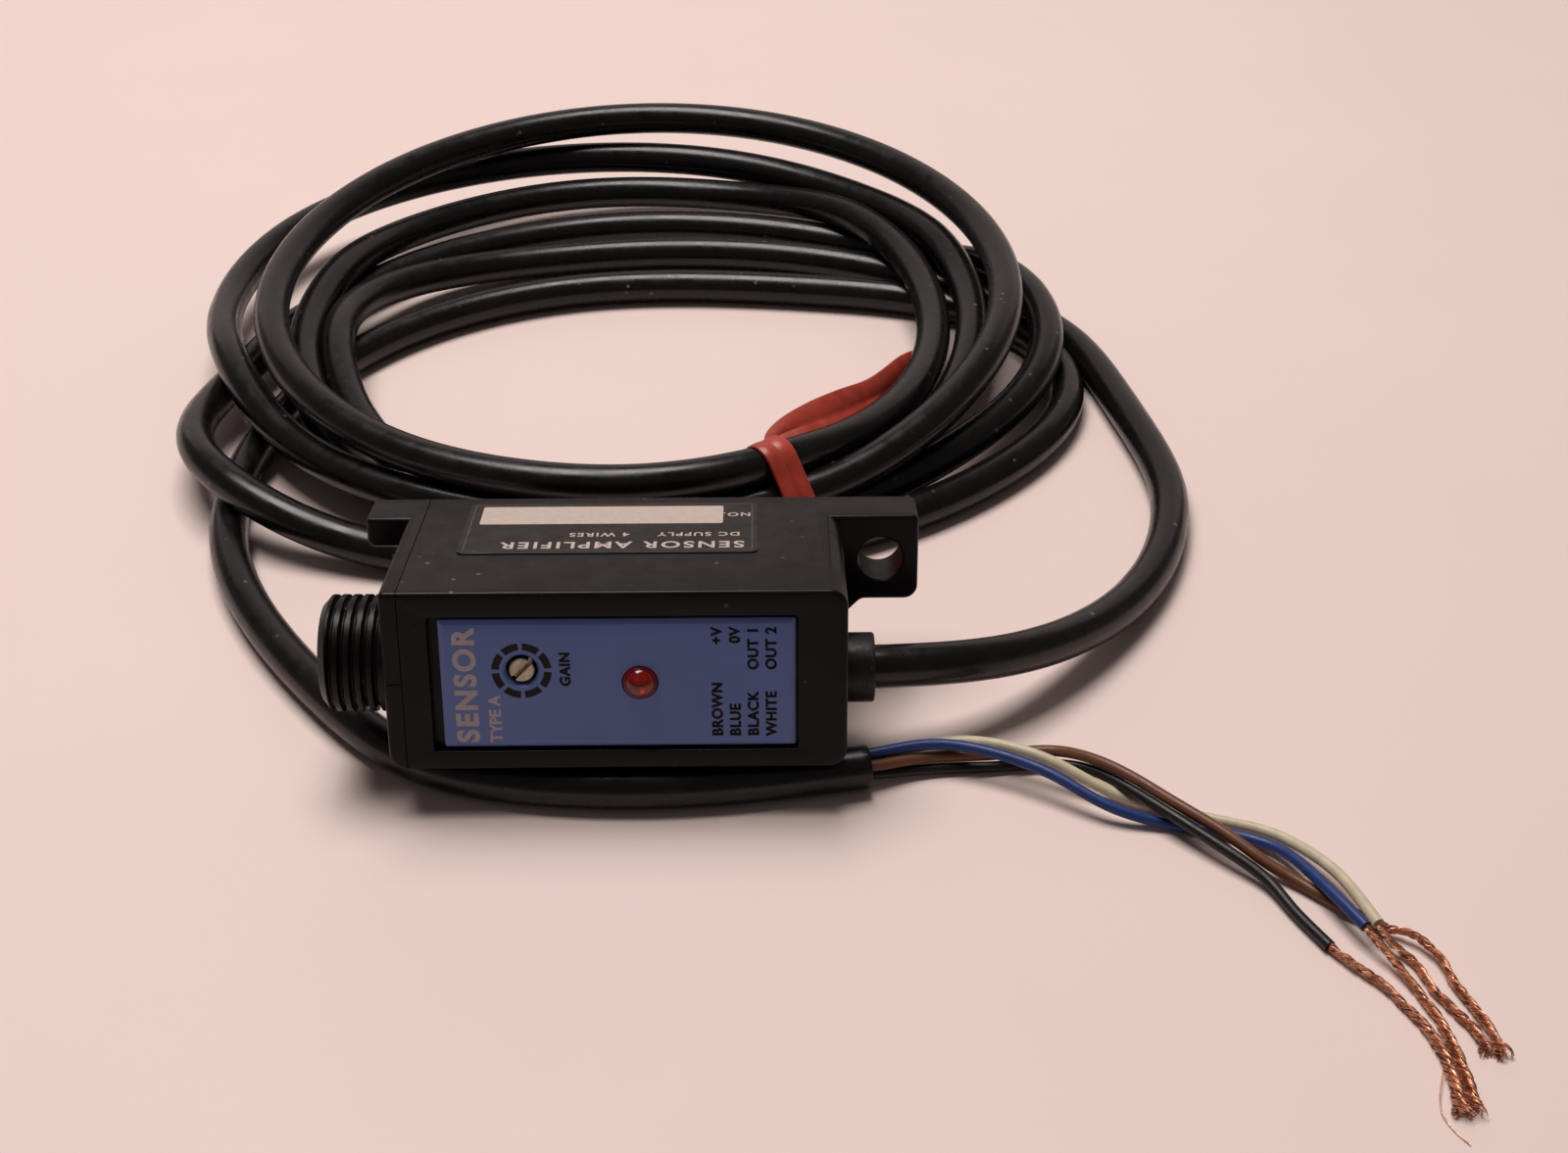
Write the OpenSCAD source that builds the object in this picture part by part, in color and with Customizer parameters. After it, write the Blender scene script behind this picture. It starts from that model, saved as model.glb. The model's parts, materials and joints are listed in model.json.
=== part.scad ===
// Fibre-type photoelectric sensor amplifier: moulded case with a threaded fibre port, a front
// panel with a sensitivity trimmer and an indicator, and a four-core lead coiled behind it.
// The case leans back on its own lead, and the lowest rear edge of the case stands on z = 0.

/* [Case] */
// Length of the case along X, end cap included
case_l = 50; // [46:0.5:60]
// Depth of the case from front panel to mounting face
case_d = 29; // [27:0.5:32]
// Height of the case
case_h = 21; // [20:0.5:24]
// Wall thickness of the case
wall = 1.6; // [1.2:0.1:2]
// Radius of the case's rounded long edges
edge_r = 2; // [1:0.1:3]
// Angle at which the case leans back on its lead, degrees
lean = 12; // [0:1:15]

/* [Mounting ears] */
// Reach of the drilled ear past the case
ear_l = 9; // [8:0.5:12]
// Height of the drilled ear
ear_h = 10.5; // [9:0.5:14]
// Thickness of the ear and of the tab, along Y
ear_t = 6.6; // [5:0.2:8]
// Diameter of the mounting hole
hole_d = 5.3; // [4.3:0.1:5.6]
// Reach of the plain tab past the case
tab_l = 4.8; // [3:0.2:7]
// Height of the plain tab
tab_h = 3.6; // [2.4:0.2:6]

/* [Fibre port] */
// Crest diameter of the threaded port
nose_d = 13; // [12.6:0.1:14]
// Length of the threaded port past the case
nose_l = 7.5; // [7:0.5:12]
// Pitch of the thread
pitch = 1.25; // [1:0.25:1.5]
// Bore of the port
nose_bore = 9.6; // [9:0.1:10]
// Diameter of each fibre bore
fibre_d = 2.3; // [1:0.1:2.4]
// Height between the two fibre bores
fibre_gap = 4.4; // [3.4:0.1:5]

/* [Front panel] */
// Length of the blue label plate
plate_l = 38.3; // [36:0.1:40]
// Height of the blue label plate
plate_h = 15.1; // [14:0.1:15.6]
// Thickness of the label plate
plate_t = 1; // [0.6:0.1:1.2]
// Depth of the panel recess
recess_t = 1.2; // [1:0.1:1.4]
// Diameter of the trimmer's rotor
rotor_d = 2.8; // [2.4:0.1:3.2]
// Diameter of the indicator's dome
lamp_d = 3.9; // [3:0.1:5]

/* [Lead] */
// Outside diameter of the lead
lead_d = 5; // [4:0.1:5.2]
// Diameter of each insulated core
core_d = 1.3; // [1:0.1:1.5]
// Diameter of each twisted copper end
copper_d = 1; // [0.8:0.1:1.2]
// Diameter of the strain relief gland
gland_d = 7.9; // [7:0.1:9]
// Length of the gland past the case
gland_l = 3.4; // [3:0.1:6]

/* [Coil] */
// Outside radius of the coil
coil_r = 62; // [56:1:70]
// Radius of the open middle of the coil
eye_r = 30; // [24:1:34]
// Height of the coil
coil_h = 14; // [10:1:18]
// Distance of the coil's centre behind the origin
coil_y = 88; // [84:1:100]
// Distance by which the open middle sits nearer the case
eye_shift = 14; // [8:1:16]

/* [Hidden] */
$fn = 64;

cap_t = 1.9;              // flange of the end cap, flush with the case
cap_gap = 0.05;           // glue line between cap and case
spigot_l = 4;             // length of the cap's plug inside the case
spigot_gap = 0.1;
front_t = 2.4;            // front wall, recess included
back_t = 1.8;
top_edge_r = 0.7;         // top edge on the port's side
half_l = case_l / 2;
joint_x = -half_l + cap_t;
mid_z = case_h / 2;
port_y = 8.2 - case_d;    // port axis, 8.2 behind the front face
ear_hole_x = half_l + 4.6;
ear_hole_z = case_h - 5.4;
gusset = 2.4;

gland_y = 11 - case_d;
gland_z = 7;
gland_neck = 6;           // gland diameter inside the case wall
clamp_l = 2.4;
clamp_t = 0.6;
jacket_in = 4.6;          // jacket length past the inside of the wall

recess_l = plate_l + 1.35;
recess_h = plate_h + 0.8;
recess_x = -0.18;         // centre of the recess
plate_x = 0.28;           // centre of the plate
panel_z = 10.2;
plate_back = -case_d + recess_t;
wall_in = -case_d + front_t;
trim_x = -10.1;
trim_z = 11.8;
trim_hole = 3.4;
trim_w = 7;
trim_depth = 4.9;
shaft_gap = 0.05;         // radial running clearance of the rotor
disc_d = 4.6;             // rotor's inner disc
disc_t = 0.7;
slot_w = 0.55;
slot_deep = 0.9;
lamp_x = 2.6;
lamp_z = 10.3;
lamp_out = 0.4;           // straight part of the lamp past the plate

board_t = 1;
board_h = 16;
board_z = 2.5;
front_y = port_y - board_t / 2;   // the front board's edge meets the legs of the diodes
front_x = -16;
front_l = 34;
leg_y = 0.78;             // the two legs of a diode lie either side of the board
main_y = -9.6;            // front face of the main board
link_x = 12;              // first pin between the boards
link_z = 4.2;
link_pitch = 1.27;
pad_x = 4;                // first solder pad of the lead's cores
pad_z = 15;
pad_pitch = 2.5;
main_x = -18;
main_l = 37.6;

lead_sides = 12;
core_sides = 8;

// Where the leaning case stands: its box is centred on the origin
seat_x = (nose_l - ear_l) / 2;
seat_y = (case_d * cos(lean) - case_h * sin(lean)) / 2;

// Lead from the gland to the coil, along its centre line
LEAD = [[27, -4.15, 10.6], [31, -4.1, 10.6], [35, -3.4, 10.2], [41, -0.8, 8.8],
    [48, 4.5, 6.6], [56, 12.5, 4.2], [62.5, 21.5, 2.9], [67, 31, 2.5], [69.5, 41, 2.5],
    [70, 51, 2.5], [68.5, 61, 2.5], [65.5, 70, 2.5], [61.5, 79, 2.5]];
// Lead from the coil to its cut end, under the case's front edge
TAIL = [[-54, 57.5, 2.5], [-55.3, 51, 2.5], [-56, 44, 2.5], [-54.8, 36, 2.5], [-50.5, 24, 2.5],
    [-44, 12.5, 2.5], [-37.5, 3.5, 2.5], [-31, -4.5, 2.5], [-24.5, -11.2, 2.5],
    [-16, -13.8, 2.5], [-6, -15.2, 2.5], [4.5, -15.4, 2.5], [14.5, -14.4, 2.5],
    [21, -13, 2.5], [26.5, -12, 2.5]];
BROWN = [[26.6, -12.7, 2.9], [34, -9.8, 2.1], [40.8, -9.3, 1.8], [47.6, -8.5, 1.9],
    [51.8, -11.7, 3.3], [55.5, -14.9, 3.5], [59.4, -18.8, 3.2], [65, -24, 2.6], [69, -28, 1.5],
    [71, -29, 0.9], [75, -33.2, 0.8], [79.3, -37, 0.8]];
BLUE = [[26.3, -11.1, 3.3], [34, -9.3, 3.6], [40.5, -11, 3.7], [47, -14.5, 3.4], [53, -18.7, 2],
    [59.3, -20.2, 0.8], [65.5, -21.8, 0.8], [70, -24, 1], [71.8, -27, 1.7], [75, -34.6, 2.5],
    [76.7, -38.4, 2.5]];
BLACK = [[26.6, -12.4, 1.6], [34, -10.4, 0.8], [40.8, -10.2, 0.8], [47.6, -9.8, 0.9],
    [51.9, -12, 1.9], [55.5, -16, 2.4], [59.2, -20.3, 2.5], [64.7, -26, 2], [68.7, -30, 1.2],
    [70, -33.5, 0.8], [73, -39.5, 0.8]];
WHITE = [[26.3, -11, 1.9], [34.3, -7.6, 2.3], [40.8, -9, 3.4], [47, -12, 3.4], [51.6, -14.5, 2],
    [55.6, -16.2, 0.9], [60, -18, 0.8], [66, -20, 0.8], [70.5, -22, 1], [72.8, -25, 1.6],
    [75.3, -28.7, 2], [76.7, -32.5, 2.2], [78.2, -37.7, 2.2]];
BROWN_END = [[79.3, -37, 0.8], [81, -37.8, 1.2], [82.5, -39.2, 1.2], [83.8, -41.3, 0.9],
    [84.3, -44, 0.7], [85, -46.5, 0.6], [86, -50, 0.7], [86.8, -54.7, 0.6]];
BLUE_END = [[76.7, -38.4, 2.5], [77.6, -40.1, 2], [79, -42.5, 1.3], [80.2, -45, 0.7],
    [81.3, -48.5, 0.6], [82, -52, 0.6], [82.2, -57, 0.6], [82, -62, 0.6]];
BLACK_END = [[73, -39.5, 0.8], [75, -42.3, 0.8], [77, -44.6, 0.7], [78.7, -47.6, 0.6],
    [80.2, -51.2, 0.6], [80.9, -54.5, 0.6], [80.9, -58.2, 0.6], [80.7, -62.3, 0.6]];
WHITE_END = [[78.2, -37.7, 2.2], [79.2, -39.6, 1.4], [80.1, -40.4, 0.9], [81.3, -42, 0.6],
    [82.1, -45.4, 0.6], [83.5, -48.5, 0.6], [84.7, -51, 0.6], [85.3, -54.3, 0.6]];

// Leans the case and everything fixed in it
module seated() {
    translate([seat_x, seat_y, 0]) rotate([-lean, 0, 0]) children();
}

// A cylinder along X, starting at x and running towards +X
module rod_x(x, y, z, d, l) {
    translate([x, y, z]) rotate([0, 90, 0]) cylinder(d = d, h = l);
}

// A cylinder along Y, starting at y and running towards +Y
module rod_y(x, y, z, d, l) {
    translate([x, y + l, z]) rotate([90, 0, 0]) cylinder(d = d, h = l);
}

// A box with its low corner at p
module block(p, s) {
    translate(p) cube(s);
}

// A rounded quarter that fills the corner of an outline, turned by a
module corner(x, z, r, a) {
    translate([x, z]) rotate(a) difference() {
        square(2 * r, center = true);
        translate([-r, -r]) circle(r = r);
    }
}

// The case seen from the front, and the same outline drawn in by w
module outline(w = 0) {
    r = max(edge_r - w, 0.3);
    difference() {
        translate([-half_l + w, w]) square([case_l - 2 * w, case_h - 2 * w]);
        corner(half_l - w, case_h - w, r, 0);
        corner(-half_l + w, case_h - w, max(top_edge_r - w, 0.2), 90);
        corner(-half_l + w, w, r, 180);
        corner(half_l - w, w, r, 270);
    }
}

// A slab of the outline between two depths
module slab(y0, y1, w = 0) {
    translate([0, y1, 0]) rotate([90, 0, 0]) linear_extrude(y1 - y0) outline(w);
}

// Rings of points of one radius about a route, square to it
function along(p, i) = let (n = len(p) - 1)
    i == 0 ? p[1] - p[0] : i == n ? p[n] - p[n - 1] :
    (p[i] - p[i - 1]) / norm(p[i] - p[i - 1]) + (p[i + 1] - p[i]) / norm(p[i + 1] - p[i]);
function unit(v) = v / norm(v);
function ring(p, i, r, sides) = let (t = unit(along(p, i)), s = unit(cross(t, [0, 0, 1])),
    u = cross(s, t))
    [for (k = [0:sides - 1]) let (a = 360 * (k + 0.5) / sides) p[i] + r * (cos(a) * s + sin(a) * u)];

// A round tube along a route of points
module sweep(p, d, sides) {
    n = len(p);
    points = [for (i = [0:n - 1]) each ring(p, i, d / 2, sides)];
    walls = [for (i = [0:n - 2]) for (k = [0:sides - 1])
        let (a = i * sides + k, b = i * sides + (k + 1) % sides)
        each [[a, b, b + sides], [a, b + sides, a + sides]]];
    first = [for (k = [sides - 1:-1:0]) k];
    last = [for (k = [0:sides - 1]) (n - 1) * sides + k];
    polyhedron(points, concat([first, last], walls), convexity = 6);
}

// Case, open at the port's end, with its ear, gusset and tab
module case_shell() {
    color([0.09, 0.08, 0.08]) seated() difference() {
        union() {
            intersection() {
                slab(-case_d, 0);
                block([joint_x + cap_gap, -case_d, 0], [case_l, case_d, case_h]);
            }
            ear();
        }
        block([joint_x - 1, wall_in, wall],
            [half_l - wall - joint_x + 1, case_d - front_t - back_t, case_h - 2 * wall]);
        block([recess_x - recess_l / 2, -case_d - 1, panel_z - recess_h / 2],
            [recess_l, recess_t + 1, recess_h]);
        rod_y(trim_x, -case_d, trim_z, trim_hole, front_t + 1);
        rod_y(lamp_x, -case_d, lamp_z, lamp_d + 0.3, front_t + 1);
        rod_x(half_l - wall - 1, gland_y, gland_z, gland_neck, wall + 2);
        rod_y(ear_hole_x, -ear_t - 1, ear_hole_z, hole_d, ear_t + 2);
    }
}

// Drilled ear with its gusset, flush with the mounting face and the top
module ear() {
    r = 1.6;
    x1 = half_l + ear_l;
    z0 = case_h - ear_h;
    rotate([90, 0, 0]) linear_extrude(ear_t) difference() {
        union() {
            translate([half_l - 3, z0]) square([ear_l + 3, ear_h]);
            polygon([[half_l - 1, z0 - gusset], [half_l, z0 - gusset], [half_l + gusset, z0],
                [half_l - 1, z0]]);
        }
        corner(x1, case_h, 0.8, 0);
        corner(x1, z0, r, 270);
    }
}

// Plain tab on the end cap, end flange, plug and threaded port
module nose_cap() {
    core_d_thread = nose_d - 1.3;
    color([0.09, 0.08, 0.08]) seated() difference() {
        union() {
            intersection() {
                slab(-case_d, 0);
                block([-half_l - 1, -case_d, 0], [cap_t + 1, case_d, case_h]);
            }
            difference() {
                block([joint_x - 0.5, wall_in + spigot_gap, wall + spigot_gap],
                    [spigot_l + 0.5, case_d - front_t - back_t - 2 * spigot_gap,
                     case_h - 2 * (wall + spigot_gap)]);
                block([joint_x, wall_in + 1.3, wall + 1.3],
                    [spigot_l + 1, case_d - front_t - back_t - 2.6, case_h - 2 * wall - 2.6]);
            }
            rod_x(-half_l - nose_l + 0.5, port_y, mid_z, core_d_thread, nose_l + 1);
            rod_x(-half_l - 0.8, port_y, mid_z, nose_d - 0.4, 1);
            for (k = [0:4])
                rod_x(-half_l - nose_l + 0.9 + k * pitch, port_y, mid_z, nose_d, pitch / 2);
            translate([-half_l - nose_l, port_y, mid_z]) rotate([0, 90, 0])
                cylinder(d1 = nose_d - 1.8, d2 = nose_d - 0.4, h = 0.9);
            tab();
        }
        rod_x(-half_l - nose_l - 1, port_y, mid_z, nose_bore, nose_l + cap_t + 2);
    }
}

module tab() {
    rotate([90, 0, 0]) linear_extrude(ear_t) difference() {
        translate([-half_l - tab_l, case_h - tab_h]) square([tab_l + 1, tab_h]);
        corner(-half_l - tab_l, case_h, 0.5, 90);
        corner(-half_l - tab_l, case_h - tab_h, 1, 180);
    }
}

// Soft disc at the mouth of the port that grips the two fibres
module fibre_grip() {
    color([0.13, 0.13, 0.14]) seated() difference() {
        rod_x(-half_l - nose_l + 0.8, port_y, mid_z, nose_bore - 0.1, 1.6);
        fibre_bores(-half_l - nose_l, 4);
    }
}

module fibre_bores(x, l, d = fibre_d) {
    for (s = [-1, 1]) rod_x(x, port_y, mid_z + s * fibre_gap / 2, d, l);
}

// Moulded plug in the port with one blind bore for each fibre
module fibre_receptacle() {
    x0 = -half_l - nose_l + 2.6;
    l = nose_l + cap_t - 2.6;
    color([0.18, 0.18, 0.19]) seated() difference() {
        rod_x(x0, port_y, mid_z, nose_bore - 0.1, l);
        fibre_bores(x0 - 1, l - 0.2 + 1);
        fibre_bores(x0 - 1, l + 2, 1);
    }
}

// Block behind the port that holds the emitter and the photodiode square to the fibres
module optics_holder() {
    x0 = joint_x + 0.1;
    color([0.1, 0.1, 0.11]) seated() difference() {
        block([x0, port_y - 3.4, mid_z - 5.6], [5, 6.8, 11.2]);
        for (s = [-1, 1]) {
            rod_x(x0 - 1, port_y, mid_z + s * fibre_gap / 2, 1.6, 3);
            rod_x(x0 + 1, port_y, mid_z + s * fibre_gap / 2, 3.2, 5);
        }
        block([x0 + 3, port_y - 4, mid_z - 0.2], [3, 8, 0.4]);
    }
}

// A 3 mm round emitter or detector with its lens towards the port and two legs
module round_diode(z) {
    x0 = joint_x + 1.3;
    rod_x(x0 + 0.9, port_y, z, 3, 2.7);
    translate([x0 + 1.2, port_y, z]) sphere(d = 2.4);
    rod_x(x0 + 3.5, port_y, z, 3.1, 0.6);
    for (s = [-1, 1])
        rod_x(x0 + 4, port_y + s * leg_y, z, 0.5, 3.8);
}

module emitter_led() {
    color([0.75, 0.12, 0.1]) seated() round_diode(mid_z + fibre_gap / 2);
}

module photodiode() {
    color([0.2, 0.22, 0.3]) seated() round_diode(mid_z - fibre_gap / 2);
}

// Tinned can over the receiver's first stage, open towards the board
module shield_can() {
    s = [9, 3.2, 6];
    p = [-11.6, front_y + board_t + 0.1, 3.6];
    color([0.72, 0.73, 0.74]) seated() difference() {
        block(p, s);
        block(p + [0.3, -1, 0.3], s - [0.6, -0.7, 0.6]);
    }
}

// Row of five holes through a board
module link_holes(y, d = 0.7) {
    for (k = [0:4]) rod_y(link_x + link_pitch * k, y - 1, link_z, d, board_t + 2);
}

// Board behind the panel: trimmer, indicator and receiver
module front_board() {
    color([0.08, 0.3, 0.16]) seated() difference() {
        block([front_x, front_y, board_z], [front_l, board_t, board_h]);
        link_holes(front_y);
        for (s = [-1, 1]) rod_y(lamp_x + s * 1.27, front_y - 1, lamp_z, 0.7, 3);
    }
}

// Board with the supply, the output stage and the lead's solder joints
module main_board() {
    color([0.08, 0.3, 0.16]) seated() difference() {
        block([main_x, main_y, board_z], [main_l, board_t, board_h]);
        link_holes(main_y);
        for (k = [0:3]) rod_y(pad_x + pad_pitch * k, main_y - 1, pad_z, core_d + 0.1, 3);
    }
}

// Five pins in a spacer that join the two boards
module board_link() {
    color([0.12, 0.12, 0.12]) seated() {
        block([link_x - 1, front_y + board_t + 0.1, link_z - 1.2], [4 * link_pitch + 2, 2.4, 2.4]);
        for (k = [0:4])
            rod_y(link_x + link_pitch * k, front_y - 0.6, link_z, 0.5,
                main_y - front_y + board_t + 1.2);
    }
}

// Square trimmer body with the well that its rotor turns in
module trimmer_housing() {
    y0 = wall_in + 0.1;
    color([0.15, 0.3, 0.62]) seated() difference() {
        block([trim_x - trim_w / 2, y0, trim_z - trim_w / 2], [trim_w, trim_depth, trim_w]);
        rod_y(trim_x, y0 - 1, trim_z, rotor_d + 2 * shaft_gap, trim_depth);
        rod_y(trim_x, y0 + 1, trim_z, disc_d + 0.4, trim_depth);
    }
}

// Ceramic disc with the resistance track, at the back of the trimmer
module trimmer_track() {
    color([0.9, 0.89, 0.84]) seated()
        rod_y(trim_x, wall_in + 0.1 + trim_depth - 1.2, trim_z, disc_d + 0.3, 1.1);
}

// Slotted rotor: slot at the panel, disc inside the trimmer
module trimmer_rotor() {
    y0 = plate_back - plate_t + 0.1;
    disc_y = wall_in + 1.4;
    color([0.72, 0.64, 0.45]) seated() difference() {
        union() {
            rod_y(trim_x, y0, trim_z, rotor_d, disc_y - y0 + 0.1);
            rod_y(trim_x, disc_y, trim_z, disc_d, disc_t);
        }
        translate([trim_x, y0, trim_z]) rotate([0, -45, 0])
            cube([rotor_d + 1, 2 * slot_deep, slot_w], center = true);
    }
}

// Spring contact that rides on the back of the rotor
module trimmer_wiper() {
    y0 = wall_in + 1.4 + disc_t;
    color([0.8, 0.62, 0.3]) seated() {
        rod_y(trim_x, y0, trim_z, 3.4, 0.25);
        for (s = [-1, 1])
            rod_y(trim_x + s * 1.3, y0 + 0.2, trim_z, 0.5, 0.9);
    }
}

// Round lamp whose dome stands out of the panel
module indicator_lamp() {
    y0 = plate_back - plate_t - lamp_out;
    color([0.7, 0.08, 0.05]) seated() {
        translate([lamp_x, y0, lamp_z]) rotate([-90, 0, 0]) rotate_extrude()
            intersection() {
                translate([0, lamp_d / 2 - 1.1]) circle(d = lamp_d);
                translate([0, -lamp_d]) square([lamp_d, lamp_d + lamp_d / 2]);
            }
        rod_y(lamp_x, y0 + 0.6, lamp_z, lamp_d, wall_in + 1.4 - y0 - 0.6);
        rod_y(lamp_x, wall_in + 0.4, lamp_z, lamp_d + 1, 1);
    }
}

module indicator_leads() {
    color([0.75, 0.75, 0.76]) seated() for (s = [-1, 1])
        rod_y(lamp_x + s * 1.27, wall_in + 1.4, lamp_z, 0.5, front_y - wall_in - 1.4 + board_t + 0.5);
}

// A flat chip package on the face of a board, legs along Z
module soic(x, y, z, n, face) {
    l = n * 1.27 + 0.6;
    y0 = face > 0 ? y + 0.2 : y - 1.6;
    block([x, y0, z], [l, 1.4, 3.9]);
    for (k = [0:n - 1]) {
        block([x + 0.6 + 1.27 * k, face > 0 ? y + 0.05 : y - 0.75, z - 0.9], [0.4, 0.7, 5.7]);
    }
}

module amplifier_ic() {
    color([0.1, 0.1, 0.1]) seated() soic(-2.4, front_y + board_t, 11.6, 4, 1);
}

module driver_ic() {
    color([0.1, 0.1, 0.1]) seated() soic(-12, main_y + board_t, 9.6, 7, 1);
}

// Two small transistors in line, one for each output
module output_transistors() {
    color([0.1, 0.1, 0.1]) seated() for (k = [0, 1]) {
        block([1.6 + 5 * k, main_y + board_t + 0.15, 10.4], [3, 1.1, 1.4]);
        for (s = [0.3, 2.3]) block([1.6 + 5 * k + s, main_y + board_t + 0.05, 9.8], [0.4, 0.4, 1]);
        block([1.6 + 5 * k + 1.3, main_y + board_t + 0.05, 11.4], [0.4, 0.4, 1]);
    }
}

// Upright can capacitor at the back of the main board
module electrolytic_capacitor() {
    color([0.16, 0.2, 0.42]) seated() {
        rod_y(-12, main_y + board_t + 0.1, 5.6, 5, 5.2);
        rod_y(-12, main_y + board_t + 5.3, 5.6, 4.2, 0.4);
    }
}

module chip_capacitors() {
    color([0.72, 0.6, 0.42]) seated() for (k = [0:3])
        block([-6 + 3 * k, main_y + board_t + 0.05, 4.4], [2, 0.8, 1.2]);
}

module chip_resistors() {
    color([0.14, 0.14, 0.15]) seated() for (k = [0:4])
        block([6 + 2.4 * k, front_y + board_t + 0.05, 14.4], [1.1, 0.5, 2]);
}

module surge_diode() {
    color([0.82, 0.42, 0.2]) seated() {
        rod_x(6.8, main_y + board_t + 0.9, 5, 1.6, 3.6);
        rod_x(6.3, main_y + board_t + 0.9, 5, 1.7, 0.5);
        rod_x(10.4, main_y + board_t + 0.9, 5, 1.7, 0.5);
    }
}

// Blue plate with its two windows
module front_label() {
    y0 = plate_back - plate_t;
    color([0.24, 0.36, 0.64]) seated() difference() {
        block([plate_x - plate_l / 2, y0, panel_z - plate_h / 2], [plate_l, plate_t - 0.02, plate_h]);
        rod_y(trim_x, y0 - 1, trim_z, trim_hole, plate_t + 2);
        rod_y(lamp_x, y0 - 1, lamp_z, lamp_d + 0.3, plate_t + 2);
    }
}

// Thin rating label on the top
module top_label() {
    color([0.1, 0.1, 0.1]) seated()
        block([-18, -18, case_h + 0.01], [33.4, 15.6, 0.15]);
}

// Strain relief through the end wall: outer collar, neck in the wall, inner flange
module cable_gland() {
    color([0.07, 0.07, 0.07]) seated() difference() {
        union() {
            rod_x(half_l + 0.02, gland_y, gland_z, gland_d, gland_l - 0.8);
            translate([half_l + gland_l - 0.8, gland_y, gland_z]) rotate([0, 90, 0])
                cylinder(d1 = gland_d, d2 = gland_d - 1, h = 0.8);
            rod_x(half_l - wall - 0.1, gland_y, gland_z, gland_neck - 0.06, wall + 0.3);
            rod_x(half_l - wall - 1.2, gland_y, gland_z, gland_d - 0.4, 1.15);
        }
        rod_x(half_l - wall - 3, gland_y, gland_z, lead_d, gland_l + wall + 6);
    }
}

// Crimped ring on the jacket behind the gland, which stops it pulling out
module cable_clamp() {
    color([0.7, 0.7, 0.72]) seated() difference() {
        rod_x(half_l - wall - 1.3 - clamp_l, gland_y, gland_z, lead_d + 2 * clamp_t, clamp_l);
        rod_x(half_l - wall - 2 - clamp_l, gland_y, gland_z, lead_d + 0.02, clamp_l + 2);
    }
}

// A core from the jacket's inner end to its pad on the main board
module inner_wire(k) {
    a = -45 - 90 * k;
    p = [half_l - wall - jacket_in, gland_y + 1.1 * cos(a), gland_z + 1.1 * sin(a)];
    x = pad_x + pad_pitch * k;
    mid_y = k == 0 || k == 3 ? -16 : -17.2;
    seated() sweep([p, p - [2.5, 0, 0], [x + 2.2, mid_y, 7.2 + 1.5 * k],
        [x + 0.6, -13.6, pad_z - 1.2], [x, main_y - 1, pad_z], [x, main_y + 0.6, pad_z]],
        core_d, core_sides);
}

module inner_wire_brown() { color([0.35, 0.18, 0.1]) inner_wire(0); }
module inner_wire_blue() { color([0.08, 0.2, 0.55]) inner_wire(1); }
module inner_wire_black() { color([0.06, 0.06, 0.06]) inner_wire(2); }
module inner_wire_white() { color([0.85, 0.84, 0.76]) inner_wire(3); }

// Lead inside the gland and out to the coil
module cable_lead() {
    color([0.07, 0.07, 0.07]) {
        seated() rod_x(half_l - wall - jacket_in, gland_y, gland_z, lead_d - 0.02,
            wall + jacket_in + gland_l - 0.2);
        sweep(LEAD, lead_d, lead_sides);
    }
}

// Outer shape of the turns: bunched at the front where they are tied, spread at the back
module cable_coil() {
    color([0.07, 0.07, 0.07]) difference() {
        translate([0, coil_y, 0]) cylinder(r = coil_r, h = coil_h);
        translate([0, coil_y - eye_shift, -1]) cylinder(r = eye_r, h = coil_h + 2);
    }
}

// Flat band wound round the bunched turns
module coil_tie() {
    r0 = 42;
    w = 4.6;
    t = 0.7;
    color([0.72, 0.16, 0.12]) translate([0, coil_y, 0]) rotate([0, 0, 20]) difference() {
        block([-w / 2, -coil_r - t, 0], [w, coil_r - r0 + 2 * t, coil_h + t]);
        block([-w, -coil_r, t], [2 * w, coil_r - r0, coil_h - t]);
    }
}

module cable_tail() { color([0.07, 0.07, 0.07]) sweep(TAIL, lead_d, lead_sides); }

module wire_brown() { color([0.35, 0.18, 0.1]) sweep(BROWN, core_d, core_sides); }
module wire_blue() { color([0.08, 0.2, 0.55]) sweep(BLUE, core_d, core_sides); }
module wire_black() { color([0.06, 0.06, 0.06]) sweep(BLACK, core_d, core_sides); }
module wire_white() { color([0.85, 0.84, 0.76]) sweep(WHITE, core_d, core_sides); }

module copper_brown() { color([0.72, 0.4, 0.24]) sweep(BROWN_END, copper_d, core_sides); }
module copper_blue() { color([0.72, 0.4, 0.24]) sweep(BLUE_END, copper_d, core_sides); }
module copper_black() { color([0.72, 0.4, 0.24]) sweep(BLACK_END, copper_d, core_sides); }
module copper_white() { color([0.72, 0.4, 0.24]) sweep(WHITE_END, copper_d, core_sides); }

case_shell();
nose_cap();
fibre_grip();
fibre_receptacle();
optics_holder();
emitter_led();
photodiode();
shield_can();
front_board();
main_board();
board_link();
trimmer_housing();
trimmer_track();
trimmer_rotor();
trimmer_wiper();
indicator_lamp();
indicator_leads();
amplifier_ic();
driver_ic();
output_transistors();
electrolytic_capacitor();
chip_capacitors();
chip_resistors();
surge_diode();
front_label();
top_label();
cable_gland();
cable_clamp();
inner_wire_brown();
inner_wire_blue();
inner_wire_black();
inner_wire_white();
cable_lead();
cable_coil();
coil_tie();
cable_tail();
wire_brown();
wire_blue();
wire_black();
wire_white();
copper_brown();
copper_blue();
copper_black();
copper_white();
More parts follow.
